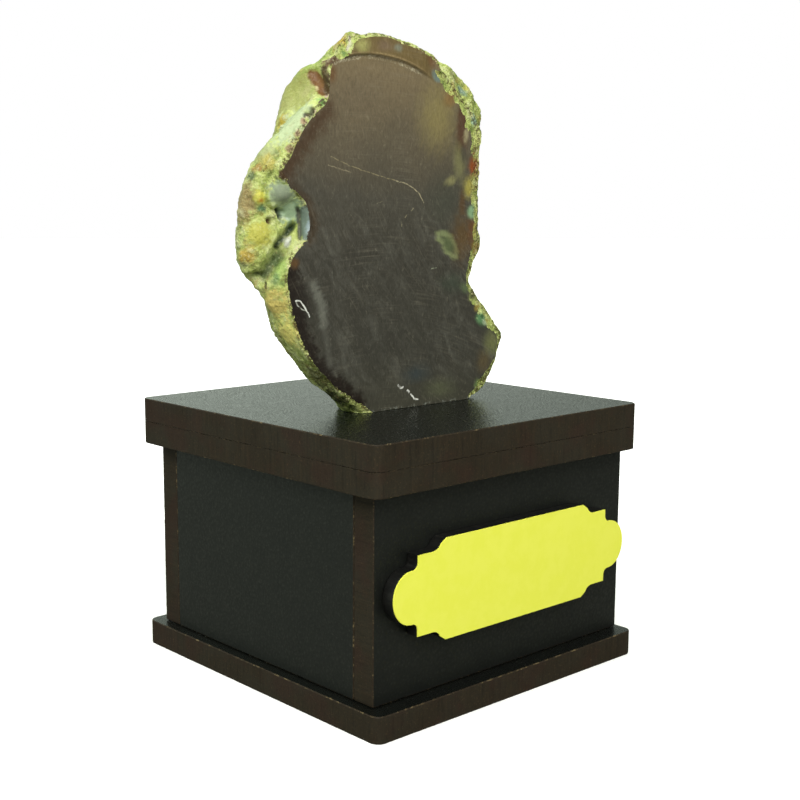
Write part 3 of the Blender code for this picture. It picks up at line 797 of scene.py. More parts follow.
    def material(self, effects: Effects) -> bpy.types.Material:
        """Make the material.

        Args:
            effects: The shared node groups.

        Returns:
            The finished material.
        """
        material, bench, shader = self.surface.start("natural rind")
        place = in_millimetres(bench, self.origin)
        depth = bench.node("ShaderNodeSeparateXYZ", {0: place}).outputs[1]
        relief = bench.node("ShaderNodeAttribute", attribute_name="relief").outputs["Fac"]
        rim = bench.node("ShaderNodeAttribute", attribute_name="rim").outputs["Fac"]
        ragged = bench.group(effects.warp, {"Place": place, "Scale": 0.9, "Amount": 1.0}).outputs[0]
        torn = bench.noise(place, 1.7, 6.0, 0.72).outputs[0]
        blotches = bench.noise(ragged, 0.55, 6.0, 0.68).outputs[0]
        back = bench.ramp(bench.noise(ragged, 0.24, 6.0, 0.62).outputs[0], self.behind)
        base = bench.blend(bench.rise(depth, 3.5, 8.0, 0.0, 0.8), bench.ramp(blotches, self.mottle), back)
        ochre = bench.rise(bench.noise(place, 0.40, 5.0, 0.65).outputs[0], 0.54, 0.66, 0.0, 0.7)
        base = bench.blend(ochre, base, colour("#A38A4A"))
        calm = bench.node("ShaderNodeAttribute", attribute_name="calm").outputs["Fac"]
        base, _ = over_painted(bench, base, "paint")
        # Painted shade in the pits, besides the specks and the crumbs of the rim.
        base = self._weathered_and_pit_shaded(bench, place, base, relief, rim, calm)
        bench.feed(shader.inputs["Base Color"], base)
        bench.feed(shader.inputs["Roughness"], bench.rise(calm, 0.0, 1.0, 0.62, 0.36))
        grain = bench.group(effects.grain, {"Place": place, "Scale": 3.6, "Sharpness": 0.9})
        wild = bench.math("SUBTRACT", 1.0, bench.math("MULTIPLY", calm, 0.85))
        coarse = bumped(bench, shader, bench.math("MULTIPLY", torn, wild), 0.22 * MM)
        bumped(bench, shader, bench.math("MULTIPLY", grain.outputs["Height"], wild), 0.07 * MM, coarse)
        return material

    def painting(self, places: np.ndarray, fray: np.ndarray) -> np.ndarray:
        """Paint the patches and the bands, and give the painted colour and its cover, one row each."""
        return painted(places, (*self.patches, *self.bands), fray)

    def _weathered_and_pit_shaded(self, bench: NodeBench, place: Socket, base: Socket, relief: Socket, rim: Socket,
                   calm: Value) -> Socket:
        """Darken the pits with painted shade, lighten the crests, and scatter specks and the crumbs of the sawn rim.

        Args:
            bench: The material's bench.
            place: Places in the stone.
            base: The colour so far.
            relief: The height of the roughness.
            rim: The distance from the rim of the saw cut.
            calm: Where the surface is smooth.

        Returns:
            The finished colour.
        """
        wild = bench.math("SUBTRACT", 1.0, bench.math("MULTIPLY", calm, 0.75))
        # Painted shade: the pits of the relief darkened.
        pits = bench.math("MULTIPLY", bench.rise(relief, -0.02, -0.22, 0.0, 0.6), wild)
        base = bench.blend(pits, base, colour("#6B6A42"), "MULTIPLY")
        crests = bench.math("MULTIPLY", bench.rise(relief, 0.04, 0.18, 0.0, 0.45), wild)
        base = bench.blend(crests, base, colour("#D9DCB0"))
        fine = bench.noise(place, 3.4, 5.0, 0.75).outputs[0]
        base = bench.blend(bench.math("MULTIPLY", bench.rise(fine, 0.47, 0.33, 0.0, 0.55), wild), base,
                           colour("#86845A"), "MULTIPLY")
        base = bench.blend(bench.math("MULTIPLY", bench.rise(fine, 0.55, 0.70, 0.0, 0.55), wild), base,
                           colour("#DDE0B8"))
        rosy = bench.rise(bench.noise(place, 1.9, 4.0, 0.7).outputs[0], 0.57, 0.68, 0.0, 0.4)
        base = bench.blend(bench.math("MULTIPLY", rosy, wild), base, colour("#9A7A50"))
        dark = bench.rise(bench.cells(place, 1.5), 0.13, 0.05)
        where = bench.rise(bench.noise(place, 0.8, 2.0).outputs[0], 0.52, 0.62)
        base = bench.blend(bench.math("MULTIPLY", bench.math("MULTIPLY", dark, where), wild), base, colour("#3A3620"))
        beads = bench.noise(place, 2.2, 4.0, 0.75).outputs[0]
        near = bench.math("MULTIPLY", bench.rise(rim, 0.6, 0.15), bench.rise(calm, 0.9, 0.4))
        base = bench.blend(bench.math("MULTIPLY", near, bench.rise(beads, 0.52, 0.44, 0.0, 0.85)), base,
                           colour("#4A3624"))
        return bench.blend(bench.math("MULTIPLY", near, bench.rise(beads, 0.56, 0.64, 0.0, 0.8)), base,
                           colour("#D6C8A4"))


@dataclass(frozen=True)
class BlackFacing:
    """The black melamine facing of the boards, with its embossed grain and a painted highlight on the grain's tops."""

    name: str = "black facing"
    grain_size: float = 0.17
    grain_depth: float = 0.010
    surface: Surface = Surface(roughness=0.21, specular=0.46, tint="#DDEFDC")
    base: str = "#080908"

    def material(self, effects: Effects) -> bpy.types.Material:
        """Make the material.

        Args:
            effects: The shared node groups.

        Returns:
            The finished material.
        """
        material, bench, shader = self.surface.start(self.name)
        place = in_millimetres(bench, Vector())
        grain = bench.group(effects.grain, {"Place": place, "Scale": 1 / self.grain_size, "Sharpness": 0.5})
        tone = bench.rise(grain.outputs["Tone"], 0.3, 0.7)
        base = bench.blend(tone, colour(self.base), colour("#0D0E0C"))
        # Painted highlight: the tops of the grain paler, standing in for the sheen that catches them.
        pale = bench.rise(grain.outputs["Height"], 1.0, 1.5, 0.0, 0.25)
        base = bench.blend(pale, base, colour("#4A4C46"))
        specks = bench.group(effects.dust, {"Place": place, "Scale": 1.7, "Amount": 0.42}).outputs[0]
        base = bench.blend(bench.math("MULTIPLY", specks, 0.35), base, colour("#8C8C7C"))
        bench.feed(shader.inputs["Base Color"], base)
        rough = self.surface.roughness
        bench.feed(shader.inputs["Roughness"], bench.rise(grain.outputs["Height"], 0.2, 1.2, rough + 0.14, rough))
        bumped(bench, shader, grain.outputs["Height"], self.grain_depth * MM)
        return material


@dataclass(frozen=True)
class BurntEdge:
    """A laser-cut edge of brown fibreboard: scorched, with fine lines along the beam."""

    name: str
    squeeze: Place
    base: str = "#2A241A"
    light: str = "#3A3022"
    dark: str = "#15120E"
    surface: Surface = Surface(roughness=0.75, specular=0.15)

    def material(self, effects: Effects) -> bpy.types.Material:
        """Make the material.

        Args:
            effects: The shared node groups.

        Returns:
            The finished material.
        """
        material, bench, shader = self.surface.start(self.name)
        place = in_millimetres(bench, Vector())
        cut = bench.group(effects.cut_lines, {"Place": place, "Squeeze": self.squeeze, "Scale": 2.6})
        lines, scorch = cut.outputs["Lines"], cut.outputs["Scorch"]
        base = bench.blend(bench.rise(scorch, 0.35, 0.65), colour(self.base), colour("#2C281F"))
        base = bench.blend(bench.rise(lines, 0.52, 0.68, 0.0, 0.3), base, colour(self.light))
        base = bench.blend(bench.rise(lines, 0.46, 0.34, 0.0, 0.35), base, colour(self.dark))
        red = bench.rise(bench.noise(place, 0.19, 4.0).outputs[0], 0.47, 0.66, 0.0, 0.4)
        base = bench.blend(red, base, colour("#33201A"))
        fibres = bench.noise(place, 4.5, 3.0, 0.7).outputs[0]
        base = bench.blend(bench.rise(fibres, 0.58, 0.76, 0.0, 0.5), base, colour("#5A4932"))
        base = bench.blend(bench.rise(fibres, 0.42, 0.30, 0.0, 0.5), base, colour(self.dark))
        bench.feed(shader.inputs["Base Color"], base)
        relief = bench.math("ADD", bench.math("MULTIPLY", lines, 0.7), bench.math("MULTIPLY", fibres, 0.3))
        bumped(bench, shader, relief, 0.06 * MM)
        return material


@dataclass(frozen=True)
class RimHighlightAndWear:
    """The sharp rim of a cut board, pale in dots where the lines of the cut end: a painted highlight where they catch
    the light, with some wear.
    """

    name: str
    squeeze: Place
    base: str = "#2A2218"
    highlight_and_wear: str = "#6E6044"
    surface: Surface = Surface(roughness=0.6, specular=0.2)

    def material(self, effects: Effects) -> bpy.types.Material:
        """Make the material.

        Args:
            effects: The shared node groups.

        Returns:
            The finished material.
        """
        material, bench, shader = self.surface.start(self.name)
        place = in_millimetres(bench, Vector())
        cut = bench.group(effects.cut_lines, {"Place": place, "Squeeze": self.squeeze, "Scale": 1.9})
        dots = bench.rise(cut.outputs["Lines"], 0.50, 0.66)
        patchy = bench.rise(bench.noise(place, 0.28, 3.0).outputs[0], 0.42, 0.62, 0.25, 1.0)
        # The pale dots are a painted highlight with some wear.
        base = bench.blend(bench.math("MULTIPLY", dots, patchy), colour(self.base), colour(self.highlight_and_wear))
        bench.feed(shader.inputs["Base Color"], base)
        bumped(bench, shader, cut.outputs["Lines"], 0.04 * MM)
        return material


@dataclass(frozen=True)
class PlateFace:
    """The satin yellow face of the name plate, bare, with the faint marks of handling."""

    surface: Surface = Surface(roughness=0.34, specular=0.35)
    base: str = "#EFF354"

    def material(self, effects: Effects) -> bpy.types.Material:
        """Make the material.

        Args:
            effects: The shared node groups.

        Returns:
            The finished material.
        """
        material, bench, shader = self.surface.start("plate yellow")
        place = in_millimetres(bench, Vector())
        grain = bench.group(effects.grain, {"Place": place, "Scale": 5.0, "Sharpness": 0.8})
        base = bench.blend(bench.rise(grain.outputs["Tone"], 0.35, 0.65, 0.0, 0.5), colour(self.base),
                           colour("#F5F865"))
        specks = bench.group(effects.dust, {"Place": place, "Scale": 1.4, "Amount": 0.4}).outputs[0]
        base = bench.blend(bench.math("MULTIPLY", specks, 0.3), base, colour("#8E8C3C"))
        bench.feed(shader.inputs["Base Color"], base)
        bench.feed(shader.inputs["Roughness"], bench.rise(grain.outputs["Tone"], 0.3, 0.7, 0.30, 0.42))
        bumped(bench, shader, grain.outputs["Height"], 0.004 * MM)
        return material


@dataclass(frozen=True)
class PlateCore:
    """The black core of the name plate, where it was cut."""

    surface: Surface = Surface(roughness=0.5, specular=0.35)
    base: str = "#0B0B0A"

    def material(self, effects: Effects) -> bpy.types.Material:
        """Make the material.

        Args:
            effects: The shared node groups.

        Returns:
            The finished material.
        """
        material, bench, shader = self.surface.start("plate black")
        place = in_millimetres(bench, Vector())
        cut = bench.group(effects.cut_lines, {"Place": place, "Squeeze": (1.0, 0.12, 1.0), "Scale": 2.2})
        base = bench.blend(bench.rise(cut.outputs["Lines"], 0.5, 0.7), colour(self.base), colour("#1E1D1A"))
        bench.feed(shader.inputs["Base Color"], base)
        bumped(bench, shader, cut.outputs["Lines"], 0.03 * MM)
        return material


def finished_piece(name: str, mesh: bpy.types.Mesh, slot: str, *nodes: str) -> bpy.types.Object:
    """Put a mesh into the scene as a piece of the object.

    Args:
        name: The piece's name.
        mesh: Its mesh, already in place.
        slot: The name of a material slot; it is not used.
        *nodes: The CAD nodes that it stands for.

    Returns:
        The new object.
    """
    piece = bpy.data.objects.new(name, mesh)
    bpy.context.scene.collection.objects.link(piece)
    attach(piece, "root")
    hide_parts(*nodes)
    LOG.info("%s: %d faces", name, len(mesh.polygons))
    return piece


class Form:
    """A form of the rind, with the height that it stands and how much it calms the roughness on it."""

    height: float
    calm: float

    def reach(self, places: np.ndarray) -> np.ndarray:
        """Give how much each place belongs to the form, from 0 to 1."""
        raise NotImplementedError

    def relief(self, places: np.ndarray) -> np.ndarray:
        """Give how far it lifts each place."""
        return self.height * self.reach(places)

    def calming(self, places: np.ndarray) -> np.ndarray:
        """Give the share of the roughness that it takes away at each place."""
        return self.calm * np.clip(2.5 * self.reach(places), 0.0, 1.0)


@dataclass(frozen=True)
class Swell(Form):
    """A rounded lump of the rind, or a hollow where its height is below nothing, in millimetres."""

    name: str
    centre: Place
    radius: float
    height: float
    calm: float = 0.0

    def reach(self, places: np.ndarray) -> np.ndarray:
        """Give how much each place belongs to the lump."""
        near = np.linalg.norm(places - np.array(self.centre), axis=1) / self.radius
        return np.clip(1.0 - near * near, 0.0, 1.0) ** 2


@dataclass(frozen=True)
class Furrow(Form):
    """A cleft, or a ridge where its height is above nothing, that follows a line over the rind."""

    name: str
    points: tuple[Place, ...]
    half_width: float
    height: float
    calm: float = 0.0

    def reach(self, places: np.ndarray) -> np.ndarray:
        """Give how much each place belongs to the furrow."""
        return smooth_step(distance_to_line(places, self.points), self.half_width, 0.0)


@dataclass
class AgateStone:
    """The stone: its flat sawn face with a raised cap, and its rough rind. Sizes are in millimetres.

    The margins give, by height, how far the broken edge of the rind shows on the sawn face.
    """

    node: str = "agate"
    pole: tuple[float, float] = (-4.5, 20.5)
    step_centre: Place = (-7.57, 0.0, 20.25)
    step_radius: float = 19.35
    step_end: float = -0.8
    step_rise: float = 0.32
    cut_tolerance: float = 0.01
    levels: int = 2
    small_face: float = 0.19
    ring_steps: tuple[float, ...] = (*(0.0125,) * 10, *(0.025,) * 9, *(0.05,) * 12)
    rough_scales: tuple[tuple[float, float], ...] = ((2.3, 0.16), (1.05, 0.16), (0.5, 0.13), (0.27, 0.07))
    edge_scales: tuple[tuple[float, float], ...] = ((1.2, 0.16), (0.5, 0.13), (0.27, 0.06))
    fray_rates: tuple[tuple[float, float], ...] = ((1.3, 0.30), (3.1, 0.30), (6.5, 0.22))
    pit_size: float = 2.6
    pit_depth: float = 0.35
    bevel: float = 0.5
    bevel_depth: float = 1.2
    right_margin: tuple[tuple[float, float], ...] = (
        (0.0, 0.0), (0.8, 0.5), (2.0, 0.7), (3.5, 0.3), (6.5, 0.3), (7.8, 0.5), (8.7, 1.3), (9.8, 1.5),
        (11.0, 1.2), (12.2, 0.9), (13.3, 0.5), (14.5, 0.35), (15.8, 0.35), (16.8, 0.6), (18.0, 1.0),
        (19.2, 1.0), (21.0, 0.6), (22.6, 0.95), (24.0, 1.2), (26.4, 1.2), (28.0, 0.7), (29.8, 1.3),
        (32.1, 1.7), (34.0, 1.2), (35.2, 0.9), (36.6, 1.0), (38.3, 1.05), (39.3, 0.6), (40.5, 0.3), (42.5, 0.3))
    left_margin: tuple[tuple[float, float], ...] = (
        (0.0, 0.0), (12.0, 0.08), (19.0, 0.1), (24.0, 0.0), (27.0, 0.05), (29.0, 0.3), (33.0, 0.3), (35.0, 0.15),
        (38.0, 0.0), (38.5, 0.1))
    top_margin: tuple[tuple[float, float], ...] = (
        (-14.5, 0.05), (-13.4, 0.25), (-12.6, 1.0), (-11.4, 1.2), (-10.8, 0.55), (-10.3, 0.3), (-6.0, 0.36),
        (-1.0, 0.25), (1.5, 0.3), (2.8, 0.2), (3.8, 0.8), (5.5, 1.0))
    top_margin_above: float = 38.5
    relief: tuple[Form, ...] = (
        Furrow("mint ridge", ((-15.2, 0.5, 34.2), (-16.9, 0.9, 32.9), (-18.7, 1.7, 31.3), (-20.0, 2.4, 29.9),
                              (-21.0, 2.9, 28.6)), 1.2, 0.5, 0.7),
        Furrow("lobe crease", ((-15.4, 1.9, 34.6), (-17.3, 2.9, 33.0), (-18.9, 3.9, 31.5), (-20.0, 4.9, 30.2)),
               0.7, -0.6),
        Swell("lobe", (-16.3, 4.2, 35.8), 4.2, 0.0, 0.7),
        Furrow("rust facet", ((-14.9, 2.0, 37.6), (-14.6, 1.2, 36.5), (-14.5, 0.4, 35.4)), 1.1, -0.55, 0.8),
        Swell("lens", (-17.0, 0.3, 21.5), 2.3, 0.1, 1.0),
        Furrow("lens plate", ((-17.1, 0.5, 23.4), (-16.9, 0.3, 21.6), (-17.2, 0.2, 20.2)), 0.75, 0.22, 1.0),
        Swell("gap by saw edge", (-16.6, 0.2, 33.2), 0.6, -0.5),
        Swell("edge chip one", (-17.6, 0.1, 32.0), 0.5, -0.35),
        Swell("edge chip two", (-18.7, 0.1, 30.6), 0.5, -0.3),
        Swell("edge pit", (-19.7, 0.2, 29.2), 0.6, -0.4),
        Swell("bluish dome", (-20.2, 0.9, 24.7), 1.8, 0.75, 1.0),
        Furrow("dome foot", ((-21.6, 1.8, 25.9), (-21.7, 2.0, 24.2), (-20.9, 1.9, 22.9), (-19.4, 1.7, 22.7)),
               0.45, -0.4),
        Furrow("lens groove", ((-17.95, 1.1, 23.5), (-17.75, 1.0, 22.4), (-17.75, 0.9, 21.3), (-17.95, 0.5, 20.0)),
               0.4, -0.5, 0.6),
        Swell("skirt of the dome", (-18.7, 1.3, 22.9), 1.6, 0.15, 0.9),
        Furrow("cleft", ((-18.3, 1.3, 21.3), (-19.0, 1.4, 20.6), (-19.9, 1.4, 19.8), (-20.4, 1.4, 19.2)),
               0.6, -1.1),
        Swell("crystals", (-19.4, 0.8, 19.6), 0.7, 0.4),
        Furrow("slit", ((-19.9, 1.8, 22.9), (-19.6, 1.9, 22.1)), 0.35, -0.7),
        Swell("brown pit", (-21.0, 2.0, 21.8), 0.55, -0.6),
        Swell("yellow knob", (-22.0, 2.1, 24.2), 1.0, 0.4, 0.6),
        Swell("yellow bulge", (-22.2, 2.0, 20.4), 2.3, 0.45, 0.5),
        Swell("ochre bulge", (-23.5, 3.0, 17.9), 1.5, 0.45),
        Furrow("underside", ((-20.4, 1.1, 18.4), (-21.1, 1.6, 17.2), (-21.8, 2.2, 15.9), (-22.6, 3.2, 15.3)),
               1.2, -1.4),
        Swell("side hollow", (-22.5, 3.5, 26.6), 0.9, -0.35),
        Swell("left side", (-23.0, 3.6, 24.0), 4.0, 0.3),
        Swell("strip pit", (-21.7, 2.0, 14.9), 0.35, -0.35),
        Swell("strip side", (-21.2, 2.8, 12.4), 2.0, 0.35, 0.5),
        Furrow("smooth strip", ((-20.4, 1.2, 14.0), (-20.0, 1.6, 11.0), (-18.4, 1.8, 8.0)), 2.2, 0.0, 0.55),
        Swell("right dark pit", (8.7, 0.8, 34.9), 0.7, -0.45),
        Swell("knob", (-12.0, 1.0, 41.2), 1.1, 0.1),
        Swell("knob crest", (-10.7, 0.8, 42.0), 1.6, 0.65),
        Swell("knob notch", (-12.6, 0.6, 39.9), 0.7, -0.3),
        Swell("saddle by the knob", (-13.5, 1.3, 40.2), 1.7, -0.85),
        Swell("lobe brow", (-15.2, 3.6, 38.0), 2.3, 0.5),
        Swell("lobe shoulder", (-16.8, 5.2, 36.0), 2.2, 0.22),
        Swell("lobe foot", (-18.8, 5.0, 33.0), 1.6, -0.6),
        Swell("top dip", (-3.2, 0.8, 41.7), 1.2, -0.25),
        Swell("upper right step", (3.8, 0.8, 40.0), 1.8, -1.05),
        Swell("upper right bulge", (8.1, 0.9, 36.0), 1.6, 0.35),
        Swell("right bulge", (9.3, 0.2, 31.6), 1.6, 0.5),
        Swell("right side", (9.1, 0.2, 27.5), 3.2, 0.3),
        Swell("right corner", (9.3, 0.2, 18.9), 1.6, 0.4),
        Swell("right waist", (8.4, 0.3, 15.6), 1.6, 0.2),
        Swell("lower right corner", (13.7, 0.3, 7.6), 1.4, 0.45),
    )

    @property
    def origin(self) -> Vector:
        """The stone's own origin, in metres: the saw cut's plane, the foot, and the middle of the lid."""
        low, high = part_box("lid_top_board")
        stone_low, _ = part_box(self.node)
        return Vector(((low.x + high.x) / 2, stone_low.y, stone_low.z))

    def build(self, effects: Effects) -> bpy.types.Object:
        """Model and dress the stone.

        Args:
            effects: The shared node groups.

        Returns:
            The finished piece.
        """
        mesh = self._refined()
        bm = bmesh.new()
        bm.from_mesh(mesh)
        self._fill_sawn_face(bm)
        self._rims(bm)
        self._small_faces(bm)
        places = np.array([vert.co for vert in bm.verts])
        self._roughen(bm)
        self._break_margins(bm)
        self._raise_cap(bm)
        self._split_finishes(bm)
        bmesh.ops.scale(bm, vec=Vector((MM, MM, MM)), verts=bm.verts)
        bmesh.ops.translate(bm, vec=self.origin, verts=bm.verts)
        mesh.clear_geometry()
        bm.to_mesh(mesh)
        bm.free()
        fray = np.array([self._fray(place) for place in places])
        for name, finish in (("stain", SawnAgate(self.origin, self.step_centre, self.step_radius, self.step_end)),
                             ("paint", NaturalRind(self.origin))):
            layer = mesh.attributes.new(name, "FLOAT_COLOR", "POINT")
            layer.data.foreach_set("color", finish.painting(places, fray).ravel())
            mesh.materials.append(finish.material(effects))
        return finished_piece("agate_stone", mesh, "agate", self.node)

    def _fray(self, place: np.ndarray) -> float:
        """Give how much the borders of painted marks are torn at a place."""
        return sum(noise.noise(Vector(place) * rate) * amount for rate, amount in self.fray_rates)

    def _refined(self) -> bpy.types.Mesh:
        """Copy the CAD stone, merge it and subdivide it smoothly with its cut edges kept sharp."""
        bm = bmesh.new()
        bm.from_mesh(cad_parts[self.node].data)
        bmesh.ops.translate(bm, vec=-self.origin, verts=bm.verts)
        bmesh.ops.scale(bm, vec=Vector((1 / MM, 1 / MM, 1 / MM)), verts=bm.verts)
        bmesh.ops.remove_doubles(bm, verts=bm.verts, dist=1e-4)
        bmesh.ops.join_triangles(bm, faces=bm.faces[:], angle_face_threshold=math.radians(50.0),
                                 angle_shape_threshold=math.radians(60.0))
        crease = bm.edges.layers.float.new("crease_edge")
        for edge in bm.edges:
            kinds = {self._is_cut(face) for face in edge.link_faces}
            edge[crease] = 1.0 if len(kinds) > 1 else 0.0
        flat_faces = [face for face in bm.faces if self._is_cut(face) == "sawn"]
        bmesh.ops.delete(bm, geom=flat_faces, context="FACES")
        mesh = bpy.data.meshes.new("agate_stone")
        bm.to_mesh(mesh)
        bm.free()
        holder = bpy.data.objects.new("agate_holder", mesh)
        bpy.context.scene.collection.objects.link(holder)
        finer = holder.modifiers.new("finer", "SUBSURF")
        finer.levels = self.levels
        finer.render_levels = self.levels
        evaluated = holder.evaluated_get(bpy.context.evaluated_depsgraph_get())
        refined = bpy.data.meshes.new_from_object(evaluated)
        refined.name = "agate_stone"
        bpy.data.objects.remove(holder)
        bpy.data.meshes.remove(mesh)
        return refined

    def _is_cut(self, face: bmesh.types.BMFace) -> str:
        """Say which of its three surfaces a face of the stone belongs to."""
        if all(abs(v.co.y) < self.cut_tolerance for v in face.verts):
            return "sawn"
        if all(abs(v.co.z) < self.cut_tolerance for v in face.verts):
            return "foot"
        return "rind"

    def _fill_sawn_face(self, bm: bmesh.types.BMesh) -> None:
        """Close the saw cut with rings of faces that are narrow at the rim and wider towards the pole."""
        middle = Vector((self.pole[0], 0.0, self.pole[1]))
        loop = [edge for edge in bm.edges if edge.is_boundary]
        share = 1.0
        for step in self.ring_steps:
            shrink = (share - step) / share
            share -= step
            made = bmesh.ops.extrude_edge_only(bm, edges=loop)["geom"]
            verts = [item for item in made if isinstance(item, bmesh.types.BMVert)]
            ring = set(verts)
            loop = [item for item in made if isinstance(item, bmesh.types.BMEdge) and set(item.verts) <= ring]
            bmesh.ops.scale(bm, vec=Vector((shrink, 1.0, shrink)), space=Matrix.Translation(-middle), verts=verts)
        bmesh.ops.pointmerge(bm, verts=verts, merge_co=middle)
        bmesh.ops.recalc_face_normals(bm, faces=bm.faces)

    def _rims(self, bm: bmesh.types.BMesh) -> None:
        """Remember the rim of the saw cut, for distances from it."""
        rim = [v.co for v in bm.verts if len({self._is_cut(f) for f in v.link_faces} & {"sawn", "rind"}) == 2]
        self.rim = KDTree(len(rim))
        for number, place in enumerate(rim):
            self.rim.insert(place, number)
        self.rim.balance()

    def _from_rim(self, co: Vector) -> float:
        """Give the distance of a place from the rim of the saw cut."""
        return self.rim.find(co)[2]

    def _margin(self, co: Vector) -> float:
        """Give how far the broken rim reaches into the sawn face near a place."""
        if co.z > self.top_margin_above:
            along, table = co.x, np.array(self.top_margin)
        else:
            along, table = co.z, np.array(self.right_margin if co.x > self.pole[0] else self.left_margin)
        width = float(np.interp(along, table[:, 0], table[:, 1]))
        wobble = 0.35 * noise.noise(co / 1.4) + 0.30 * noise.noise(co / 0.5) + 0.15 * noise.noise(co / 0.25)
        return width * (1.0 + wobble)

    def _ring_place(self, co: Vector) -> float:
        """Give the distance from the middle of the saw's circle."""
        return math.hypot(co.x - self.step_centre[0], co.z - self.step_centre[2])

    def _needs_detail(self, co: Vector) -> bool:
        """Say whether a place lies where the rind, the broken rim or the step needs small faces."""
        if co.y > 6.5:
            return False
        if co.y > self.cut_tolerance:
            return co.x < -10.5 or (co.y < 2.0 and (co.x > 1.0 or co.z > 38.5))
        on_step = abs(self._ring_place(co) - self.step_radius) < 0.45 and co.z > 36.5
        return on_step or self._from_rim(co) < 0.35 + 1.3 * self._margin(co)

    def _small_faces(self, bm: bmesh.types.BMesh) -> None:
        """Split the faces that need detail until they are small enough."""
        for _ in range(2):
            long_edges = []
            for edge in bm.edges:
                if edge.calc_length() > self.small_face:
                    if self._needs_detail((edge.verts[0].co + edge.verts[1].co) / 2):
                        long_edges.append(edge)
            bmesh.ops.subdivide_edges(bm, edges=long_edges, cuts=1, use_grid_fill=True)
        LOG.info("the stone has %d faces", len(bm.faces))

    def _roughen(self, bm: bmesh.types.BMesh) -> None:
        """Carve the rind's forms and its roughness, and nick the edge of the saw cut."""
        bm.normal_update()
        rough = bm.verts.layers.float.new("relief")
        calm = bm.verts.layers.float.new("calm")
        rind, edge, outward = [], [], {}
        for vert in bm.verts:
            kinds = [self._is_cut(face) for face in vert.link_faces]
            if "rind" not in kinds:
                continue
            if "sawn" in kinds or "foot" in kinds:
                side = sum((f.normal for f, kind in zip(vert.link_faces, kinds) if kind == "rind"), Vector())
                keep = Vector((1.0, 0.0 if "sawn" in kinds else 1.0, 0.0 if "foot" in kinds else 1.0))
                side = Vector(a * b for a, b in zip(side, keep))
                outward[vert] = side.normalized() if side.length > 1e-6 else Vector()
                edge.append(vert)
            else:
                outward[vert] = vert.normal.copy()
                rind.append(vert)
        for verts, scales in ((rind, self.rough_scales), (edge, self.edge_scales)):
            places = np.array([v.co for v in verts])
            height = sum(form.relief(places) for form in self.relief)
            wild = 1.0 - np.max([form.calming(places) for form in self.relief], axis=0)
            for vert, carved, share in zip(verts, height, wild):
                rise = self._roughness(vert.co, scales, verts is rind) * float(share)
                vert[rough] = rise
                vert[calm] = 1.0 - float(share)
                vert.co += outward[vert] * (float(carved) + rise)

    def _roughness(self, co: Vector, scales: Iterable[tuple[float, float]], with_pits: bool) -> float:
        """Give the rind's small relief at a place.

        Args:
            co: The place.
            scales: The size of each kind of bump and its height.
            with_pits: True away from the saw cut, where the rind has pits too.

        Returns:
            The height, in millimetres.
        """
        lively = 0.45 + 0.9 * (0.5 + 0.5 * noise.noise(co / 6.0 + Vector((9.0, 2.0, 5.0))))
        rise = sum(noise.noise(co / size + Vector((size, 3.0, 7.0))) * height for size, height in scales)
        if with_pits:
            pushed = co + 1.1 * noise.noise_vector(co / 1.5)
            near = noise.voronoi(pushed / self.pit_size)[0][0]
            behind = min(1.0, max(0.0, (co.y - 2.0) / 3.0)) * min(1.0, max(0.0, 0.5 + 2.0 * noise.noise(co / 4.5)))
            rise -= self.pit_depth * behind * max(0.0, 1.0 - (near / 0.35) ** 2)
            rise *= min(1.0, co.y / 0.6 + 0.3)
        return rise * lively

    def _break_margins(self, bm: bmesh.types.BMesh) -> None:
        """Bevel the broken rim backwards, so that the rind shows from the front, and mark how near it is."""
        rim = bm.verts.layers.float.new("rim")
        rough = bm.verts.layers.float["relief"]
        for vert in bm.verts:
            depth = vert.co.y
            away = self._from_rim(vert.co) if depth < 3.0 else 3.0
            vert[rim] = min(3.0, away)
            if depth > self.bevel_depth:
                continue
            width = self._margin(vert.co)
            inside = 1.0 - away / max(width, 1e-3) if depth < self.cut_tolerance else 1.0
            if width < 0.05 or inside <= 0.0:
                continue
            crumbs = 0.5 + 0.5 * noise.noise(vert.co / 0.6) + 0.35 * noise.noise(vert.co / 0.28)
            share = inside ** 0.6 * (1.0 - max(0.0, depth) / self.bevel_depth) * min(1.0, width / 0.8)
            push = self.bevel * share * (0.55 + 0.6 * crumbs)
            if depth < self.cut_tolerance:
                vert[rough] = 0.25 * (0.5 - crumbs)
            vert.co.y += push
            if vert.co.x > self.pole[0]:
                vert.co.x += 0.87 * push * share

    def _raise_cap(self, bm: bmesh.types.BMesh) -> None:
        """Lift the unsawn cap above the step forward from the saw cut."""
        for vert in bm.verts:
            if abs(vert.co.y) > self.cut_tolerance or vert.co.z < 30.0:
                continue
            wobble = 0.12 * noise.noise(vert.co / 1.3)
            beyond = (self._ring_place(vert.co) + wobble - self.step_radius) / 0.22
            before = (self.step_end + 2.5 - vert.co.x) / 2.5
            share = min(1.0, max(0.0, beyond)) * min(1.0, max(0.0, before))
            vert.co.y -= self.step_rise * share * share * (3.0 - 2.0 * share)

    def _split_finishes(self, bm: bmesh.types.BMesh) -> None:
        """Give the rind its own material, smooth the shading, and keep the rim of the cut sharp."""
        bm.normal_update()
        for face in bm.faces:
            face.smooth = True
            face.material_index = 0 if max(v.co.y for v in face.verts) < 0.03 else 1
        for edge in bm.edges:
            kinds = {face.material_index for face in edge.link_faces}
            edge.smooth = len(kinds) == 1 and edge.calc_face_angle(0.0) < math.radians(60.0)


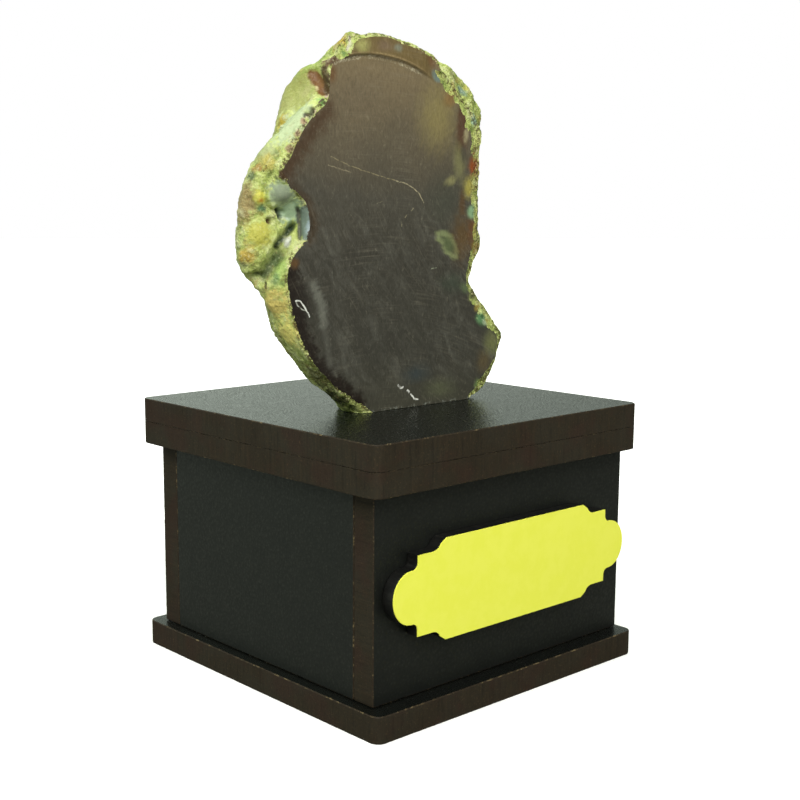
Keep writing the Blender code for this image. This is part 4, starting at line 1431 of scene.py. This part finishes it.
class Through(Enum):
    """The way that a board's thickness runs, and the turn from lying flat that gives it."""

    X = (math.pi / 2, "Y", (2, 1, 0), (0.08, 1.0, 1.0))
    Y = (math.pi / 2, "X", (0, 2, 1), (1.0, 0.08, 1.0))
    Z = (0.0, "Z", (0, 1, 2), (1.0, 1.0, 0.08))

    def __init__(self, turn: float, about: str, order: tuple[int, int, int], squeeze: Place) -> None:
        """Keep what each way means."""
        self.turn = turn
        self.about = about
        self.order = order
        self.squeeze = squeeze

    @property
    def axis(self) -> int:
        """The number of the axis that the thickness runs along."""
        return self.order[2]


@dataclass(frozen=True)
class Board:
    """One laser-cut board of the stand, with scalloped edges and nicked rims that carry a painted highlight and some
    wear. Sizes are in metres.
    """

    node: str
    piece: str
    through: Through
    corner: float = 0.15 * MM
    corner_steps: int = 3
    pitch: float = 0.26 * MM
    rims: tuple[float, float] = (0.11 * MM, 0.11 * MM)
    scallop: float = 0.03 * MM
    nick: float = 0.07 * MM

    def build(self, materials: Sequence[bpy.types.Material]) -> bpy.types.Object:
        """Model the board in the place of its CAD node.

        Args:
            materials: Its facing, its burnt edge and its rim finish, with its painted highlight and wear.

        Returns:
            The finished piece.
        """
        low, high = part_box(self.node)
        size = high - low
        flat_size = Vector(size[i] for i in self.through.order)
        bm = bmesh.new()
        bmesh.ops.create_cube(bm, size=1.0)
        bmesh.ops.scale(bm, vec=flat_size, verts=bm.verts)
        upright = [e for e in bm.edges if abs(e.verts[0].co.z - e.verts[1].co.z) > flat_size.z / 2]
        bmesh.ops.bevel(bm, geom=upright, offset=self.corner, affect="EDGES", segments=self.corner_steps,
                        profile=0.5, material=-1)
        self._divide(bm, 0, flat_size.x)
        self._divide(bm, 1, flat_size.y)
        for side, rim in zip((-1.0, 1.0), self.rims):
            edges = [e for e in bm.edges if e.is_manifold and e.calc_face_angle() > math.radians(80.0)
                     and side * e.verts[0].co.z > 0.0]
            bmesh.ops.bevel(bm, geom=edges, offset=rim, affect="EDGES", segments=2, profile=0.5, material=-1)
        turn = Matrix.Rotation(self.through.turn, 4, self.through.about)
        place = Matrix.Translation((low + high) / 2) @ turn
        bmesh.ops.transform(bm, matrix=place, verts=bm.verts)
        self._wear(bm)
        mesh = bpy.data.meshes.new(self.piece)
        bm.to_mesh(mesh)
        bm.free()
        for material in materials:
            mesh.materials.append(material)
        mesh.shade_smooth()
        mesh.set_sharp_from_angle(angle=math.radians(20.0))
        return finished_piece(self.piece, mesh, "black_board", self.node)

    def _divide(self, bm: bmesh.types.BMesh, axis: int, length: float) -> None:
        """Cut the long edges of both faces into short steps along one axis."""
        long_edges = [e for e in bm.edges if abs(e.verts[0].co[axis] - e.verts[1].co[axis]) > length / 2]
        bmesh.ops.subdivide_edges(bm, edges=long_edges, cuts=max(1, round(length / self.pitch)))

    def _wear(self, bm: bmesh.types.BMesh) -> None:
        """Scallop the cut edges, nick the rims and sort the faces by finish. Nothing moves outwards."""
        bm.normal_update()
        axis = self.through.axis
        squeeze = Vector(self.through.squeeze)
        moves = {}
        for vert in bm.verts:
            side = vert.normal.copy()
            side[axis] = 0.0
            if side.length < 0.2:
                continue
            spot = vert.co / MM
            lines = noise.noise(Vector(a * b for a, b in zip(spot, squeeze)) * 2.1)
            nicked = max(0.0, noise.noise(spot * 1.1 + Vector((4.0, 8.0, 2.0))) - 0.28) / 0.4
            on_rim = 1.0 if abs(vert.normal[axis]) > 0.2 else 0.15
            moves[vert] = -side.normalized() * (self.scallop * (0.5 + 0.5 * lines) + self.nick * nicked * on_rim)
        for vert, move in moves.items():
            vert.co += move
        for face in bm.faces:
            along = abs(face.normal[axis])
            face.material_index = 0 if along > 0.95 else 1 if along < 0.35 else 2


@dataclass
class BoxStand:
    """The stand: a lid of two boards, four walls and a bottom board."""

    corner: float = 1.2 * MM

    def boards(self) -> tuple[Board, ...]:
        """List the boards with the way that their thickness runs."""
        square = {"through": Through.Z, "corner": self.corner, "corner_steps": 10}
        rim, seam = 0.11 * MM, 0.02 * MM
        return (
            Board("lid_top_board", "lid_upper", rims=(seam, rim), **square),
            Board("lid_lower_board", "lid_lower", rims=(rim, seam), **square),
            Board("bottom_board", "foot_board", **square),
            Board("front_panel", "wall_front", Through.Y),
            Board("back_panel", "wall_back", Through.Y),
            Board("left_panel", "wall_left", Through.X),
            Board("right_panel", "wall_right", Through.X),
        )

    def build(self, effects: Effects) -> list[bpy.types.Object]:
        """Model and dress every board.

        Args:
            effects: The shared node groups.

        Returns:
            The finished pieces.
        """
        lid_facing = BlackFacing().material(effects)
        wall_facing = BlackFacing("wall facing", 0.34, 0.008, Surface(roughness=0.44, specular=0.45,
                                                                       tint="#DFE8E0")).material(effects)
        edges = {}
        for way in Through:
            burnt = BurntEdge(f"burnt edge {way.name}", way.squeeze).material(effects)
            # The rim's finish carries a painted highlight and some wear.
            rim = RimHighlightAndWear(f"worn rim {way.name}", way.squeeze).material(effects)
            edges[way] = (burnt, rim)
        pieces = []
        for board in self.boards():
            facing = lid_facing if board.through is Through.Z else wall_facing
            pieces.append(board.build((facing, *edges[board.through])))
        return pieces


@dataclass
class NamePlate:
    """The ornamental name plate: a black core with a yellow face, in millimetres from the plate's middle."""

    half_length: float = 19.1
    half_height: float = 5.6
    shoulder: tuple[float, float] = (15.6, 4.4)
    brow: float = 12.2
    ear_height: float = 2.9
    scoop: float = 0.75
    steps: int = 4

    @staticmethod
    def _arc(centre: tuple[float, float], radius: tuple[float, float], start: float, end: float,
             steps: int) -> list[tuple[float, float]]:
        """Give points along an oval arc.

        Args:
            centre: The arc's middle.
            radius: Its reach sideways and upwards.
            start: The angle that it starts at, in degrees.
            end: The angle that it ends at.
            steps: How many stretches it has.

        Returns:
            The points, one more than the steps.
        """
        angles = [math.radians(start + (end - start) * i / steps) for i in range(steps + 1)]
        return [(centre[0] + radius[0] * math.cos(a), centre[1] + radius[1] * math.sin(a)) for a in angles]

    def _outline(self) -> list[tuple[float, float]]:
        """Give the plate's whole outline from one quarter of it."""
        shoulder_x, shoulder_z = self.shoulder
        ear_x = shoulder_x + 0.9
        ear = self._arc((ear_x, 0.0), (self.half_length - ear_x, self.ear_height), 0.0, 80.0, 7 * self.steps)
        scoop = self._arc((shoulder_x + self.scoop, self.ear_height + self.scoop), (self.scoop, self.scoop),
                          -80.0, -180.0, 3 * self.steps)
        rise = self.half_height - shoulder_z
        brow = self._arc((self.brow + rise, shoulder_z + rise * 0.75), (rise, rise * 0.75), -90.0, -165.0,
                         3 * self.steps)
        quarter = [*ear, *scoop, self.shoulder, *brow, (self.brow - 0.8, self.half_height)]
        upper = quarter + [(-x, z) for x, z in reversed(quarter)]
        return upper + [(x, -z) for x, z in reversed(upper[1:-1])]

    def _layer(self, node: str, piece: str, slot: str, rim: float, material: bpy.types.Material) -> bpy.types.Object:
        """Model one layer of the plate in the place of its CAD node.

        Args:
            node: The CAD node.
            piece: The new piece's name.
            slot: The name of a material slot, handed on to finished_piece.
            rim: How wide its rounded rim is, in metres.
            material: Its finish.

        Returns:
            The finished piece.
        """
        low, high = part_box(node)
        centre = (low + high) / 2
        bm = bmesh.new()
        ring = [bm.verts.new((centre.x + x * MM, low.y, centre.z + z * MM)) for x, z in self._outline()]
        front = bm.faces.new(ring)
        body = bmesh.ops.extrude_face_region(bm, geom=[front])
        moved = [v for v in body["geom"] if isinstance(v, bmesh.types.BMVert)]
        bmesh.ops.translate(bm, vec=Vector((0.0, high.y - low.y, 0.0)), verts=moved)
        bmesh.ops.recalc_face_normals(bm, faces=bm.faces)
        rims = [e for e in bm.edges if len({round(v.co.y, 7) for v in e.verts}) == 1]
        bmesh.ops.bevel(bm, geom=rims, offset=rim, affect="EDGES", segments=2, profile=0.5, material=-1)
        mesh = bpy.data.meshes.new(piece)
        bm.to_mesh(mesh)
        bm.free()
        mesh.materials.append(material)
        mesh.shade_smooth()
        mesh.set_sharp_from_angle(angle=math.radians(20.0))
        return finished_piece(piece, mesh, slot, node)

    def build(self, effects: Effects) -> list[bpy.types.Object]:
        """Model and dress both layers.

        Args:
            effects: The shared node groups.

        Returns:
            The finished pieces.
        """
        return [
            self._layer("name_plate", "plate_core", "plate_core", 0.08 * MM, PlateCore().material(effects)),
            self._layer("name_plate_face", "plate_face", "plate_face", 0.03 * MM, PlateFace().material(effects)),
        ]


@dataclass
class Studio:
    """The camera at the photograph's angle, soft light and a plain pale floor. Sizes are in metres."""

    eye: Place = (-0.105985, -0.112994, 0.054860)
    pitch: float = 80.937
    yaw: float = -40.96
    lens: float = 57.75
    shift: tuple[float, float] = (0.075, 0.0125)
    floor_radius: float = 2.0
    backdrop: Place = (-0.35, 0.93, 0.1)

    def build(self) -> None:
        """Set up everything round the object."""
        bpy.context.scene.view_settings.view_transform = "Standard"
        self._camera()
        self._world()
        self._floor()
        self._lamp("key", (-0.24, -0.24, 0.30), 0.20, 1.75)
        self._lamp("fill", (0.10, -0.40, 0.26), 0.30, 0.68)
        self._lamp("top", (-0.10, 0.10, 0.42), 0.30, 0.45)

    def _camera(self) -> None:
        """Put the camera where the photograph was taken from."""
        data = bpy.data.cameras.new("camera")
        data.sensor_width = 36.0
        data.lens = self.lens
        data.shift_x, data.shift_y = self.shift
        data.clip_start = 0.005
        data.clip_end = 20.0
        camera = bpy.data.objects.new("camera", data)
        camera.location = self.eye
        camera.rotation_euler = (math.radians(self.pitch), 0.0, math.radians(self.yaw))
        bpy.context.scene.collection.objects.link(camera)
        bpy.context.scene.camera = camera

    def _world(self) -> None:
        """Surround the object with a white backdrop that lights it more from above and behind."""
        world = bpy.data.worlds.new("studio")
        world.use_nodes = True
        bench = NodeBench(world.node_tree)
        way = bench.node("ShaderNodeTexCoord").outputs["Generated"]
        towards = bench.vector("DOT_PRODUCT", way, self.backdrop).outputs["Value"]
        behind = bench.rise(towards, -0.25, 0.85, 0.01, 1.6)
        height = bench.node("ShaderNodeSeparateXYZ", {0: way}).outputs[2]
        above = bench.rise(height, 0.0, 0.9, 0.0, 0.35)
        behind = bench.math("MULTIPLY", behind, bench.rise(height, 0.12, 0.25, 1.0, 0.3))
        lit = bench.node("ShaderNodeBackground", {"Color": colour("#F2FFF0"),
                                                  "Strength": bench.math("ADD", behind, above)})
        seen = bench.node("ShaderNodeBackground", {"Color": (1.0, 1.0, 1.0, 1.0), "Strength": 1.0})
        mixed = bench.node("ShaderNodeMixShader", {
            0: bench.node("ShaderNodeLightPath").outputs["Is Camera Ray"], 1: lit.outputs[0], 2: seen.outputs[0]})
        bench.feed(world.node_tree.nodes["World Output"].inputs["Surface"], mixed.outputs[0])
        bpy.context.scene.world = world

    def _floor(self) -> None:
        """Lay a plain pale floor that fades into the backdrop."""
        bm = bmesh.new()
        bmesh.ops.create_circle(bm, cap_ends=True, segments=96, radius=self.floor_radius)
        mesh = bpy.data.meshes.new("floor")
        bm.to_mesh(mesh)
        bm.free()
        material, bench, shader = Surface(roughness=0.8, specular=0.1).start("pale floor")
        away = bench.vector("LENGTH", bench.object_place()).outputs["Value"]
        shader.inputs["Emission Color"].default_value = (1.0, 1.0, 1.0, 1.0)
        seen = bench.node("ShaderNodeLightPath").outputs["Is Camera Ray"]
        glow = bench.math("MULTIPLY", seen, bench.rise(away, 0.03, 0.16, 0.3, 1.0))
        bench.feed(shader.inputs["Base Color"], bench.blend(seen, colour("#8C8C86"), colour("#F2F3F0")))
        bench.feed(shader.inputs["Emission Strength"], glow)
        mesh.materials.append(material)
        floor = bpy.data.objects.new("floor", mesh)
        floor.location.z = -0.02 * MM
        bpy.context.scene.collection.objects.link(floor)

    def _lamp(self, name: str, place: Place, size: float, power: float) -> None:
        """Hang a square soft light that points at the object."""
        data = bpy.data.lights.new(name, "AREA")
        data.size = size
        data.energy = power
        data.color = (1.0, 0.985, 0.93)
        lamp = bpy.data.objects.new(name, data)
        lamp.location = place
        aim = Vector((0.0, 0.0, 0.035)) - Vector(place)
        lamp.rotation_euler = aim.to_track_quat("-Z", "Y").to_euler()
        bpy.context.scene.collection.objects.link(lamp)


def main() -> None:
    """Build the stone, its stand and the studio round them."""
    logging.basicConfig(level=logging.INFO, format="%(name)s: %(message)s")
    effects = Effects()
    builders: tuple[tuple[str, Callable[[], object]], ...] = (
        ("stone", lambda: AgateStone().build(effects)),
        ("stand", lambda: BoxStand().build(effects)),
        ("name plate", lambda: NamePlate().build(effects)),
        ("studio", lambda: Studio().build()),
    )
    for name, build in builders:
        build()
        LOG.info("%s is ready", name)


if __name__ == "__main__":
    main()
